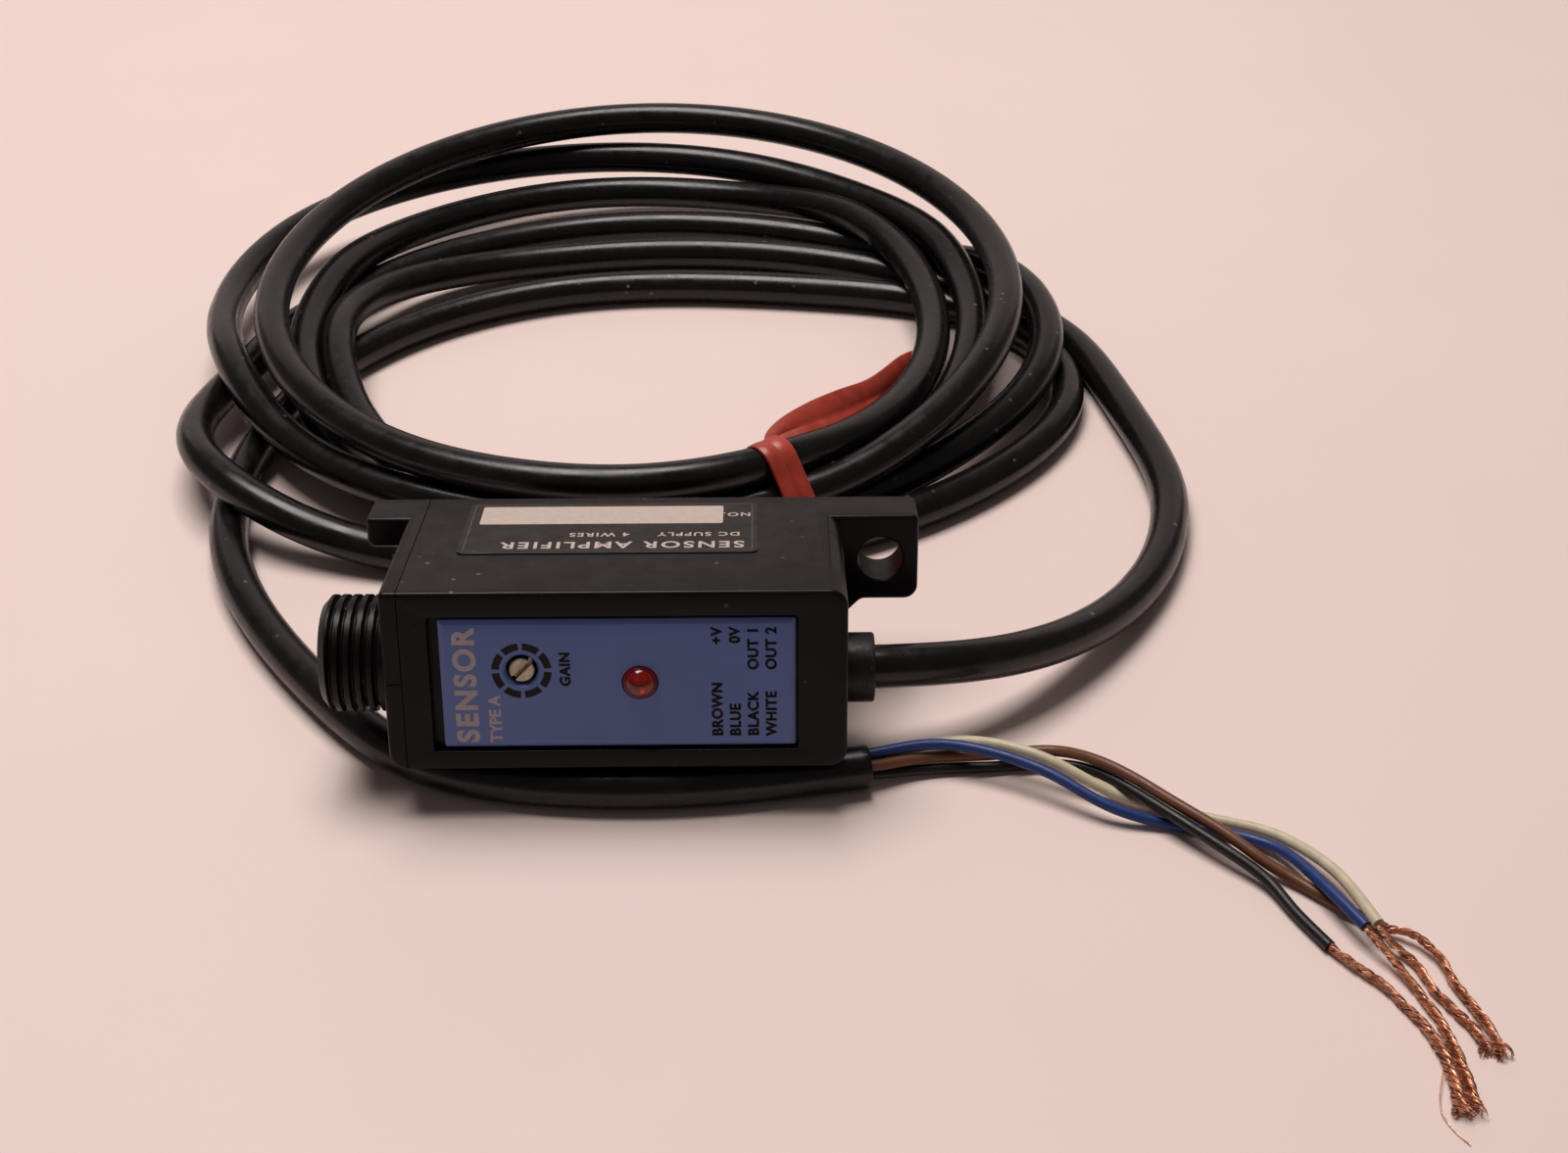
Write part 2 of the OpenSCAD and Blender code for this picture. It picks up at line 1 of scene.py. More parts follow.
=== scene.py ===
"""Fibre photoelectric sensor amplifier: black case with a threaded fibre port, a blue front plate
with a sensitivity trimmer and an indicator, and a four-core lead coiled and tied behind it.

Shapes are written in millimetres and turned into metres when a piece is made. Everything fixed in
the case is drawn upright, mounting face at y = 0, and then leans back with SEAT.
"""

import json
import math

import bmesh
import bpy
import numpy as np
from mathutils import Matrix, Vector


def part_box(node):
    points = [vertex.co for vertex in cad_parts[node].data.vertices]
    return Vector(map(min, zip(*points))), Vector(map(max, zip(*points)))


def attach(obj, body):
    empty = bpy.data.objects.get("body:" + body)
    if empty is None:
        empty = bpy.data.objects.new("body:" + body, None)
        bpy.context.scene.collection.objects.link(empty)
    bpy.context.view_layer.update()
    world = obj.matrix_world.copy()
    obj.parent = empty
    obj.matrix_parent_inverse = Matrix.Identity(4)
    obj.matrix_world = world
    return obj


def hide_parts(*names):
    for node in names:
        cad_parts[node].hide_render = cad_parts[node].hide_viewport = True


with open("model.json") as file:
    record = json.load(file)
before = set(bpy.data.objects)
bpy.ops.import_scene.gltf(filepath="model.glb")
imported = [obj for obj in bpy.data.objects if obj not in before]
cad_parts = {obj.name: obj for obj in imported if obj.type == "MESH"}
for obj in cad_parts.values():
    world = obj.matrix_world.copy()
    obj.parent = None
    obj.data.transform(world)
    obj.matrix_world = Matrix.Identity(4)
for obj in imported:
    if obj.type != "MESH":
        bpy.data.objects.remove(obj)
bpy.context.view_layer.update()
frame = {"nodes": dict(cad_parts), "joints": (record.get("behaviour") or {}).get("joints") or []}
scene = bpy.context.scene
MM = 0.001

# ------------------------ sizes, mm
CASE_L, CASE_D, CASE_H = 50.0, 29.0, 21.0
HALF = CASE_L / 2
EDGE_R, TOP_EDGE_R = 2.0, 0.7
WALL, FRONT_T, BACK_T = 1.6, 2.4, 1.8
CAP_T, CAP_GAP, SPIGOT_L, SPIGOT_T = 1.9, 0.1, 4.0, 1.2
JOINT_X = -HALF + CAP_T
FILLET = 0.45
SEAM_Z, SEAM_H, SEAM_DEEP = 10.25, 0.12, 0.12
EAR_L, EAR_H, EAR_T = 9.0, 10.5, 6.6
EAR_HOLE_X, EAR_HOLE_Z, EAR_HOLE_D = HALF + 4.6, CASE_H - 5.4, 5.3
GUSSET = 2.4
TAB_L, TAB_H = 4.8, 3.6

PORT_Y, PORT_Z = 8.2 - CASE_D, CASE_H / 2
NOSE_D, NOSE_L, NOSE_BORE = 13.0, 7.5, 9.6
PITCH, THREAD_DEPTH = 1.25, 0.62
NOSE_X, NOSE_FOOT = -HALF - NOSE_L, 0.4

RECESS_X, PANEL_Z = -0.18, 10.2
RECESS_L, RECESS_H, RECESS_T, RECESS_R = 39.65, 15.9, 1.2, 0.4
PLATE_X, PLATE_L, PLATE_H, PLATE_T = 0.28, 38.3, 15.1, 1.0
PLATE_Y = -CASE_D + RECESS_T - PLATE_T
PRINT_T = 0.012
TRIM_X, TRIM_Z, TRIM_HOLE = -10.1, 11.8, 3.4
ROTOR_D, ROTOR_FACE = 2.8, PLATE_Y + 0.1
DISC_R, DISC_T = 2.3, 0.7
SLOT_W, SLOT_DEEP, SLOT_ANGLE = 0.55, 0.9, -45
LAMP_X, LAMP_Z, LAMP_D = 2.6, 10.3, 3.9
LAMP_BACK = DISC_Y = -CASE_D + FRONT_T + 1.4

GLAND_Y, GLAND_Z, GLAND_D, GLAND_L = 11 - CASE_D, 7.0, 7.9, 3.4
GLAND_HOLE = 6.0
JACKET_IN = 18.8                 # where the jacket ends inside the case

CABLE_D, CORE_D, STRAND_D, HAIR_D = 5.0, 1.3, 0.14, 0.12
STRANDS, BUNDLE_R, STRAND_LAY = 30, 0.38, 4.4      # number, bundle's radius, length of one twist
# How much thicker each bundle gets towards its tip, and how far its strands splay there
FRAY = {"brown": (0.3, 0.4), "blue": (0.75, 0.5), "black": (0.75, 0.5), "white": (0.3, 0.4)}
COIL_STEP = 4.0                  # length of cable between two points of the settled coil
LEAD_FIXED, TAIL_FIXED = 75, 95  # length at each end of the cable that keeps to its route

# ------------------------ the frame's own facts
joint = frame["joints"][0]
LEAN = math.atan2(joint["axis"][2], -joint["axis"][1])
shell_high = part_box("case_shell")[1]
SEAT = Matrix.Translation((shell_high.x - (HALF + EAR_L) * MM,
                           shell_high.y - CASE_H * MM * math.sin(LEAN), 0)) \
    @ Matrix.Rotation(-LEAN, 4, "X")


def seated(p):
    """A point of the upright case, in mm, where it stands in the frame, in metres."""
    return SEAT @ (Vector(p) * MM)


# ------------------------ camera
CAMERA_AT = (15.05, -203.1, 159.0)
CAMERA_LOOK = (0.0101, 0.8256, -0.5642)
lens = bpy.data.cameras.new("camera")
lens.sensor_width = 36
lens.lens = 50.4
lens.clip_start = 0.01
camera = bpy.data.objects.new("camera", lens)
camera.location = Vector(CAMERA_AT) * MM
camera.rotation_mode = "QUATERNION"
camera.rotation_quaternion = Vector(CAMERA_LOOK).to_track_quat("-Z", "Y")
scene.collection.objects.link(camera)
scene.camera = camera

# ------------------------ routes, mm
LEAD = [(27, -4.15, 10.6), (31, -4.1, 10.6), (35, -3.4, 10.2), (41, -0.8, 8.8), (48, 4.5, 6.6),
        (56, 12.5, 4.2), (62.5, 21.5, 2.9), (67, 31, 2.5), (69.5, 41, 2.5), (70, 51, 2.5),
        (68.5, 61, 2.5), (65.5, 70, 2.5), (61.5, 79, 2.5)]
# The outermost points of each turn in order: right, back, left, front, right, and so on
EXTREMES = [(61.5, 79, 2.5),
            (2, 119, 2.5), (-48, 86, 7.5), (0, 37.5, 2.5), (47, 90, 8.5),
            (-8, 144.5, 9), (-65, 97, 8), (-4, 32, 7), (51.5, 88, 14),
            (-2, 147, 15), (-56, 87, 14), (-2, 32.5, 12), (41, 88, 8),
            (-3, 139.5, 5), (-51, 90, 8), (-14, 34.5, 2.5), (58, 84, 8),
            (-2, 129, 2.5), (-63, 54, 8), (-8, 28.5, 3), (61, 83, 2.5),
            (-2, 107, 2.5), (-54, 57.5, 2.5)]
TAIL = [(-54, 57.5, 2.5), (-55.3, 51, 2.5), (-56, 44, 2.5), (-54.8, 36, 2.5), (-50.5, 24, 2.5),
        (-44, 12.5, 2.5), (-37.5, 3.5, 2.5), (-31, -4.5, 2.5), (-24.5, -11.2, 2.5),
        (-16, -13.8, 2.5), (-6, -15.2, 2.5), (4.5, -15.4, 2.5), (14.5, -14.4, 2.5),
        (21, -13, 2.5), (26.5, -12, 2.5)]
CORES = {
    "brown": [(26.6, -12.7, 2.9), (34, -9.8, 2.1), (40.8, -9.3, 1.8), (47.6, -8.5, 1.9),
              (51.8, -11.7, 3.3), (55.5, -14.9, 3.5), (59.4, -18.8, 3.2), (65, -24, 2.6),
              (69, -28, 1.5), (71, -29, 0.9), (75, -33.2, 0.8), (79.3, -37, 0.8)],
    "blue": [(26.3, -11.1, 3.3), (34, -9.3, 3.6), (40.5, -11, 3.7), (47, -14.5, 3.4),
             (53, -18.7, 2), (59.3, -20.2, 0.8), (65.5, -21.8, 0.8), (70, -24, 1),
             (71.8, -27, 1.7), (75, -34.6, 2.5), (76.7, -38.4, 2.5)],
    "black": [(26.6, -12.4, 1.6), (34, -10.4, 0.8), (40.8, -10.2, 0.8), (47.6, -9.8, 0.9),
              (51.9, -12, 1.9), (55.5, -16, 2.4), (59.2, -20.3, 2.5), (64.7, -26, 2),
              (68.7, -30, 1.2), (70, -33.5, 0.8), (73, -39.5, 0.8)],
    "white": [(26.3, -11, 1.9), (34.3, -7.6, 2.3), (40.8, -9, 3.4), (47, -12, 3.4),
              (51.6, -14.5, 2), (55.6, -16.2, 0.9), (60, -18, 0.8), (66, -20, 0.8),
              (70.5, -22, 1), (72.8, -25, 1.6), (75.3, -28.7, 2), (76.7, -32.5, 2.2),
              (78.2, -37.7, 2.2)],
}
COPPERS = {
    "brown": [(79.3, -37, 0.8), (81, -37.8, 1.2), (82.5, -39.2, 1.2), (83.8, -41.3, 0.9),
              (84.3, -44, 0.7), (85, -46.5, 0.6), (86, -50, 0.7), (86.8, -54.7, 0.6)],
    "blue": [(76.7, -38.4, 2.5), (77.6, -40.1, 2), (79, -42.5, 1.3), (80.2, -45, 0.7),
             (81.3, -48.5, 0.6), (82, -52, 0.6), (82.2, -57, 0.6), (82, -62, 0.6)],
    "black": [(73, -39.5, 0.8), (75, -42.3, 0.8), (77, -44.6, 0.7), (78.7, -47.6, 0.6),
              (80.2, -51.2, 0.6), (80.9, -54.5, 0.6), (80.9, -58.2, 0.6), (80.7, -62.3, 0.6)],
    "white": [(78.2, -37.7, 2.2), (79.2, -39.6, 1.4), (80.1, -40.4, 0.9), (81.3, -42, 0.6),
              (82.1, -45.4, 0.6), (83.5, -48.5, 0.6), (84.7, -51, 0.6), (85.3, -54.3, 0.6)],
}


def smooth(points, steps):
    """A Catmull-Rom curve through points, with so many steps between two of them."""
    p = np.array(points, float)
    q = np.vstack([2 * p[0] - p[1], p, 2 * p[-1] - p[-2]])
    t = np.linspace(0, 1, steps, endpoint=False)[:, None]
    out = []
    for a, b, c, d in zip(q[:-3], q[1:-2], q[2:-1], q[3:]):
        out.append(0.5 * (2 * b + (c - a) * t + (2 * a - 5 * b + 4 * c - d) * t * t
                          + (3 * b - a - 3 * c + d) * t ** 3))
    return np.vstack(out + [p[-1:]])


def lengths(p):
    return np.linalg.norm(np.diff(p, axis=0), axis=1)


def resample(p, step):
    """The same line with points a step apart."""
    s = np.concatenate([[0], np.cumsum(lengths(p))])
    u = np.linspace(0, s[-1], max(2, int(round(s[-1] / step)) + 1))
    return np.stack([np.interp(u, s, p[:, k]) for k in range(3)], 1)


def relax(p, passes):
    """Rounds the kinks of a line and leaves its ends alone."""
    for _ in range(passes):
        p[1:-1] = p[1:-1] / 2 + (p[:-2] + p[2:]) / 4
    return p


def turns():
    """Quarter ellipses from each outermost point of the coil to the next."""
    out = []
    for q, (a, b) in enumerate(zip(EXTREMES, EXTREMES[1:])):
        for t in np.linspace(0, 1, 18, endpoint=False):
            c, s = math.cos(t * math.pi / 2), math.sin(t * math.pi / 2)
            z = a[2] + (b[2] - a[2]) * t * t * (3 - 2 * t)
            if q % 2 == 0:
                out.append((b[0] + (a[0] - b[0]) * c, a[1] + (b[1] - a[1]) * s, z))
            else:
                out.append((a[0] + (b[0] - a[0]) * s, b[1] + (a[1] - b[1]) * c, z))
    return out


def bend(p):
    """How far a stiff cable would move each point."""
    lap = np.zeros_like(p)
    lap[1:-1] = (p[:-2] + p[2:]) / 2 - p[1:-1]
    out = np.zeros_like(p)
    out[2:-2] = lap[2:-2] - (lap[1:-3] + lap[3:-1]) / 2
    return out


def hold_length(p, rest, move):
    """Takes up part of what each stretch of cable has gained or lost against its rest length."""
    e = p[1:] - p[:-1]
    long = np.linalg.norm(e, axis=1)
    fix = ((long - rest) / long)[:, None] * e / 4
    p[:-1] += fix * move[:-1]
    p[1:] -= fix * move[1:]


def part_strands(p, pair, above, move, over_from=0.7, pace=0.6):
    """Pushes strands apart where the cable runs through itself, and one up and the other down where
    they are closer in plan than over_from diameters. above says which of two is the upper one."""
    gap = p[:, None] - p[None]
    flat = gap[..., 0] ** 2 + gap[..., 1] ** 2
    apart = np.sqrt(flat + gap[..., 2] ** 2)
    i, j = np.nonzero(pair & (apart < CABLE_D))
    v, h, side = gap[i, j], np.sqrt(flat[i, j]), above[i, j]
    lift = np.maximum(np.sqrt(np.maximum(CABLE_D ** 2 - h * h, 0)) - v[:, 2] * side, 0)
    over = np.stack([0 * h, 0 * h, side * lift], 1)
    out = (CABLE_D - apart[i, j])[:, None] * v / apart[i, j][:, None]
    push = np.where((h < over_from * CABLE_D)[:, None], over, out)
    share = np.maximum(move[i] + move[j], 1)
    shift, count = np.zeros_like(p), np.ones(len(p))
    for k, sign in ((i, 1), (j, -1)):
        np.add.at(count, k, 1)
        np.add.at(shift, k, sign * push * move[k] / share)
    p += pace * shift / np.sqrt(count)[:, None]


def keep_off_case(p, free):
    """Sends points that are inside the case out through its mounting face."""
    r = CABLE_D / 2
    low = np.array([-HALF - r, -CASE_D - r, -r])
    high = np.array([HALF + EAR_L + r, r, CASE_H + r])
    to_case, from_case = np.array(SEAT.inverted()), np.array(SEAT)
    local = p @ to_case[:3, :3].T + to_case[:3, 3] / MM
    inside = free & ((local > low) & (local < high)).all(1)
    local[inside, 1] = high[1]
    p[inside] = (local @ from_case[:3, :3].T + from_case[:3, 3] / MM)[inside]


def settle(plan, loose_turns=420, contact_turns=250):
    """Lets the planned coil go: it keeps its length, stays stiff, falls, and lies on itself and the
    floor. Its two ends, whose routes are listed, stay where they are."""
    p = plan.copy()
    rest = lengths(p)
    s = np.concatenate([[0], np.cumsum(rest)])
    free = (s >= LEAD_FIXED) & (s <= s[-1] - TAIL_FIXED)
    move = free.astype(float)[:, None]
    index = np.arange(len(p))
    pair = (index[None] - index[:, None]) > 5
    height = plan[:, 2] + index * 1e-4
    above = np.sign(height[:, None] - height[None])
    for turn in range(loose_turns + contact_turns):
        loose = turn < loose_turns
        if loose:
            p += move * np.array([0.01, 0.01, 0.02]) * (plan - p)
            p[:, 2] -= 0.02 * move[:, 0]
        p += move * (0.22 if loose else 0.12) * bend(p)
        for _ in range(3):
            hold_length(p, rest, move)
        part_strands(p, pair, above, move)
        p[:, 2] = np.where(free, np.maximum(p[:, 2], CABLE_D / 2), p[:, 2])
        keep_off_case(p, free)
    return p


plan = resample(np.vstack([smooth(LEAD, 8), turns()[1:], smooth(TAIL, 8)]), COIL_STEP)
coil = settle(relax(plan, 6))
jacket_start = np.array(seated((JACKET_IN, GLAND_Y, GLAND_Z))) / MM
cable_line = smooth(np.vstack([jacket_start, (jacket_start + coil[0]) / 2, coil]), 4)


# ------------------------ mesh helpers
def new_object(name, data):
    obj = bpy.data.objects.new(name, data)
    scene.collection.objects.link(obj)
    return obj


def make(name, verts, faces, place=SEAT, sharp=35):
    """A mesh object from points in mm. place is the matrix that puts them in the frame."""
    mesh = bpy.data.meshes.new(name)
    mesh.from_pydata([tuple(place @ (Vector(v) * MM)) for v in verts], [], faces)
    obj = new_object(name, mesh)
    tidy(obj, sharp)
    return obj


def tidy(obj, sharp=35):
    """Outward normals, and smooth shading but for edges sharper than sharp degrees."""
    bm = bmesh.new()
    bm.from_mesh(obj.data)
    bmesh.ops.recalc_face_normals(bm, faces=bm.faces)
    bm.to_mesh(obj.data)
    bm.free()
    obj.data.shade_smooth()
    obj.data.set_sharp_from_angle(angle=math.radians(sharp))


def curve(name, points, d, sides):
    """A round tube along one open spline; points in mm."""
    data = bpy.data.curves.new(name, "CURVE")
    data.dimensions = "3D"
    data.bevel_depth = d / 2 * MM
    data.bevel_resolution = sides
    data.use_fill_caps = True
    spline = data.splines.new("POLY")
    spline.points.add(len(points) - 1)
    for target, p in zip(spline.points, points):
        target.co = (*(Vector(p) * MM), 1)
    spline.use_smooth = True
    return new_object(name, data)


def loft(rings, closed=False):
    """Points and faces of a skin through rings that have equally many points. A closed loft joins
    its last ring to its first, and an open one is capped."""
    n = len(rings[0])
    verts = [p for ring in rings for p in ring]
    last = len(rings) if closed else len(rings) - 1
    faces = []
    for i in range(last):
        a, b = i * n, (i + 1) % len(rings) * n
        faces += [(a + k, a + (k + 1) % n, b + (k + 1) % n, b + k) for k in range(n)]
    if not closed:
        faces += [tuple(reversed(range(n))), tuple(range(len(verts) - n, len(verts)))]
    return verts, faces


def inset(corners, w):
    """A polygon's corners with each side moved inwards by w; the corners run anticlockwise."""
    out = []
    for i, p in enumerate(corners):
        p = Vector(p)
        a = (p - Vector(corners[i - 1])).normalized()
        b = (Vector(corners[(i + 1) % len(corners)]) - p).normalized()
        na, nb = Vector((-a.y, a.x)), Vector((-b.y, b.x))
        out.append(p + (na + nb) * (w / (1 + na.dot(nb))))
    return out


def rounded(corners, radii, w=0.0, steps=8):
    """Outline of a polygon with rounded corners, drawn in by w."""
    out = []
    inner = inset(corners, w)
    for i, (p, r) in enumerate(zip(inner, radii)):
        a = (inner[i - 1] - p).normalized()
        b = (inner[(i + 1) % len(inner)] - p).normalized()
        turn = math.pi - a.angle(b)
        convex = a.x * b.y - a.y * b.x < 0
        r = max(r - w if convex else r + w, 0.02)
        reach = r * math.tan(turn / 2)
        centre = p + (a + b).normalized() * math.hypot(r, reach)
        start = (p + a * reach) - centre
        sign = 1 if convex else -1
        for k in range(steps + 1):
            angle = sign * turn * k / steps
            out.append(centre + Matrix.Rotation(angle, 2) @ start)
    return out


def box_corners(x, z, l, h):
    return [(x - l / 2, z - h / 2), (x + l / 2, z - h / 2), (x + l / 2, z + h / 2),
            (x - l / 2, z + h / 2)]


def rolled(y0, y1, steps=4):
    """Depth and inset of each ring of a slab whose front and back edges are rounded."""
    angles = [k / steps * math.pi / 2 for k in range(steps + 1)]
    front = [(y0 + FILLET * (1 - math.cos(a)), FILLET * (1 - math.sin(a))) for a in angles]
    back = [(y1 - FILLET * (1 - math.sin(a)), FILLET * (1 - math.cos(a))) for a in angles]
    return front + back


def slab(name, corners, radii, y0, y1):
    """A plate standing in the XZ plane from y0 to y1, with rounded edges."""
    return make(name, *loft([[(p.x, y, p.y) for p in rounded(corners, radii, w)]
                             for y, w in rolled(y0, y1)]))


def turned(name, profile, centre, axis, sides=64, closed=False, place=SEAT):
    """A solid of revolution: profile holds (distance along axis, radius)."""
    rings = []
    for along, r in profile:
        ring = []
        for k in range(sides):
            a = 2 * math.pi * k / sides
            u, v = r * math.cos(a), r * math.sin(a)
            p = {"x": (along, u, v), "y": (u, along, v)}[axis]
            ring.append(Vector(centre) + Vector(p))
        rings.append(ring)
    return make(name, *loft(rings, closed), place=place)


def evaluated(obj):
    """The mesh that an object's modifiers, or its text, come to."""
    bpy.context.view_layer.update()
    return bpy.data.meshes.new_from_object(
        obj.evaluated_get(bpy.context.evaluated_depsgraph_get()))


def combine(obj, tool, operation="DIFFERENCE"):
    """obj cut by, or joined with, tool, which is used up."""
    modifier = obj.modifiers.new("combine", "BOOLEAN")
    modifier.object = tool
    modifier.operation = operation
    modifier.solver = "EXACT"
    result = evaluated(obj)
    obj.modifiers.clear()
    spent = [obj.data, tool.data]
    obj.data = result
    bpy.data.objects.remove(tool)
    for mesh in spent:
        bpy.data.meshes.remove(mesh)
    return obj


def join(obj, *others):
    """One object made of several closed skins."""
    bm = bmesh.new()
    for o in (obj, *others):
        bm.from_mesh(o.data)
    bm.to_mesh(obj.data)
    bm.free()
    for o in others:
        bpy.data.objects.remove(o)
    return obj


def hole(axis, centre, d, a, b, rim=0.0):
    """A cutter for a round hole from a to b along axis, widened at both ends by a rim."""
    r = d / 2
    profile = [(a, r), (b, r)]
    if rim:
        profile = [(a - 1, r + rim + 1), (a + rim, r), (b - rim, r), (b + 1, r + rim + 1)]
    return turned("cutter", profile, centre, axis)


# ------------------------ materials
def principled(name, colour, rough, metal=0.0, **inputs):
    material = bpy.data.materials.new(name)
    material.use_nodes = True
    shader = material.node_tree.nodes["Principled BSDF"]
    shader.inputs["Base Color"].default_value = (*colour, 1)
    shader.inputs["Roughness"].default_value = rough
    shader.inputs["Metallic"].default_value = metal
    for key, value in inputs.items():
        shader.inputs[key.replace("_", " ")].default_value = value
    return material, shader


class Graph:
    """Short ways to add the nodes of a material."""

    def __init__(self, material):
        self.tree = material.node_tree
        self.place = self.tree.nodes.new("ShaderNodeTexCoord").outputs["Object"]

    def node(self, kind, values):
        """A new node whose inputs are set to numbers or linked to sockets."""
        node = self.tree.nodes.new(kind)
        for key, value in values.items():
            if isinstance(value, bpy.types.NodeSocket):
                self.link(value, node.inputs[key])
            else:
                node.inputs[key].default_value = value
        return node

    def noise(self, size, lumps=0.0):
        """Noise whose features are about size mm across."""
        return self.node("ShaderNodeTexNoise", {
            "Vector": self.place, "Scale": 1 / (size * MM), "Detail": 4, "Roughness": 0.55,
            "Distortion": lumps}).outputs["Fac"]

    def cells(self, size):
        return self.node("ShaderNodeTexVoronoi", {
            "Vector": self.place, "Scale": 1 / (size * MM)}).outputs["Distance"]

    def span(self, value, low, high, to_low, to_high):
        """value from low to high, spread over to_low to to_high."""
        return self.node("ShaderNodeMapRange", {
            "Value": value, "From Min": low, "From Max": high, "To Min": to_low,
            "To Max": to_high}).outputs["Result"]

    def mix(self, factor, a, b):
        """Colour a where factor is 0 and b where it is 1; each is a colour or a socket."""
        node = self.tree.nodes.new("ShaderNodeMix")
        node.data_type = "RGBA"
        self.link(factor, node.inputs["Factor"])
        for key, colour in (("A", a), ("B", b)):
            socket = next(s for s in node.inputs if s.name == key and s.type == "RGBA")
            if isinstance(colour, tuple):
                socket.default_value = (*colour, 1)
            else:
                self.link(colour, socket)
        return next(s for s in node.outputs if s.type == "RGBA")

    def bump(self, shader, height, depth, before=None):
        """Relief of depth mm, on top of the relief before."""
        values = {"Strength": 1, "Distance": depth * MM, "Height": height}
        if before:
            values["Normal"] = before
        normal = self.node("ShaderNodeBump", values).outputs["Normal"]
        self.link(normal, shader.inputs["Normal"])
        return normal

    def link(self, socket, target):
        self.tree.links.new(socket, target)


def surface(name, colour, rough, metal=0.0, patch=(4.0, 0.75), grain=(0.25, 0.012), scatter=0.08,
            dust=None, **inputs):
    """A worn everyday surface: cloudy colour, uneven gloss, fine grain and, if dust is given,
    specks. patch is the clouds' size in mm and how dark they go, grain the relief's size and depth,
    scatter how much the roughness varies, and dust the colour and the size of the specks."""
    material, shader = principled(name, colour, rough, metal, **inputs)
    g = Graph(material)
    clouds = g.noise(patch[0])
    dark = tuple(c * patch[1] for c in colour)
    tint = g.mix(g.span(clouds, 0.35, 0.65, 0, 1), dark, colour)
    gloss = g.span(g.noise(patch[0] * 0.6, lumps=0.6), 0.3, 0.7, rough - scatter, rough + scatter)
    if dust:
        speck = g.span(g.cells(dust[1]), 0.12, 0.05, 0, 1)
        thin = g.span(g.noise(patch[0] * 1.7), 0.5, 0.62, 0, 1)
        both = g.tree.nodes.new("ShaderNodeMath")
        both.operation = "MULTIPLY"
        g.link(speck, both.inputs[0])
        g.link(thin, both.inputs[1])
        tint = g.mix(both.outputs["Value"], tint, dust[0])
    g.link(tint, shader.inputs["Base Color"])
    g.link(gloss, shader.inputs["Roughness"])
    first = g.bump(shader, g.noise(grain[0]), grain[1])
    g.bump(shader, g.noise(grain[0] * 7), grain[1] * 2.5, first)
    return material


DUST = (0.13, 0.1, 0.09)
CASE_PLASTIC = surface("case_plastic", (0.0055, 0.0042, 0.004), 0.35, patch=(6, 0.75),
                       grain=(0.16, 0.006), scatter=0.07, dust=(DUST, 2.6),
                       Specular_IOR_Level=0.16)
JACKET = surface("lead_jacket", (0.006, 0.0047, 0.0044), 0.27, patch=(5, 0.65), grain=(0.3, 0.005),
                 scatter=0.07, dust=(DUST, 3.1), Specular_IOR_Level=0.36)
RUBBER = surface("gland_rubber", (0.007, 0.0055, 0.005), 0.46, patch=(1.5, 0.55), grain=(0.2, 0.02),
                 scatter=0.14, dust=(DUST, 0.8), Specular_IOR_Level=0.35)
PLATE_BLUE = surface("label_blue", (0.098, 0.158, 0.4), 0.34, patch=(9, 0.92), grain=(0.12, 0.002),
                     scatter=0.06, Specular_IOR_Level=0.35, Coat_Weight=0.1, Coat_Roughness=0.12)
PRINT_BLACK = surface("print_black", (0.006, 0.005, 0.006), 0.45, patch=(0.8, 0.8),
                      grain=(0.08, 0.003), Specular_IOR_Level=0.2)
PRINT_GREY = surface("print_grey", (0.42, 0.36, 0.38), 0.5, patch=(0.5, 0.86), grain=(0.08, 0.003))
PRINT_WHITE = surface("print_white", (0.52, 0.42, 0.37), 0.5, patch=(0.7, 0.9), grain=(0.08, 0.003))
PRINT_DIM = surface("print_dim", (0.075, 0.062, 0.06), 0.5, patch=(0.9, 0.7), grain=(0.08, 0.003))
STICKER = surface("label_black", (0.008, 0.006, 0.006), 0.38, patch=(5, 0.8), grain=(0.3, 0.004),
                  dust=(DUST, 2.2), Specular_IOR_Level=0.26)
TIE_RED = surface("tie_red", (0.43, 0.048, 0.028), 0.36, patch=(2.5, 0.72), grain=(0.4, 0.01),
                  Subsurface_Weight=0.08, Subsurface_Radius=(0.001, 0.0002, 0.0002))
BRASS = surface("rotor_brass", (0.5, 0.43, 0.32), 0.34, 1.0, patch=(0.6, 0.6), grain=(0.07, 0.01),
                scatter=0.12)
TIN = surface("tin_steel", (0.62, 0.61, 0.6), 0.34, 1.0, patch=(1.2, 0.8), grain=(0.1, 0.004))
BRONZE = surface("contact_bronze", (0.68, 0.4, 0.2), 0.33, 1.0, patch=(0.8, 0.8),
                 grain=(0.1, 0.004))
BOARD = surface("board_green", (0.018, 0.11, 0.045), 0.36, patch=(2, 0.7), grain=(0.35, 0.012),
                Coat_Weight=0.5, Coat_Roughness=0.15)
CHIP = surface("chip_black", (0.022, 0.021, 0.022), 0.52, patch=(1, 0.7), grain=(0.06, 0.006))
CERAMIC = surface("ceramic", (0.74, 0.7, 0.62), 0.5, patch=(0.8, 0.85), grain=(0.06, 0.006))
CHIP_TAN = surface("chip_ceramic", (0.5, 0.36, 0.2), 0.42, patch=(0.6, 0.8), grain=(0.06, 0.006))
TRIMMER_BLUE = surface("trimmer_blue", (0.03, 0.11, 0.42), 0.4, patch=(1.5, 0.8),
                       grain=(0.1, 0.008))
SLEEVE = surface("capacitor_sleeve", (0.03, 0.04, 0.16), 0.3, patch=(1.5, 0.8), grain=(0.2, 0.006))
DIODE_GLASS = surface("diode_glass", (0.6, 0.2, 0.06), 0.15, patch=(0.6, 0.6), grain=(0.3, 0.004),
                      Coat_Weight=0.6)
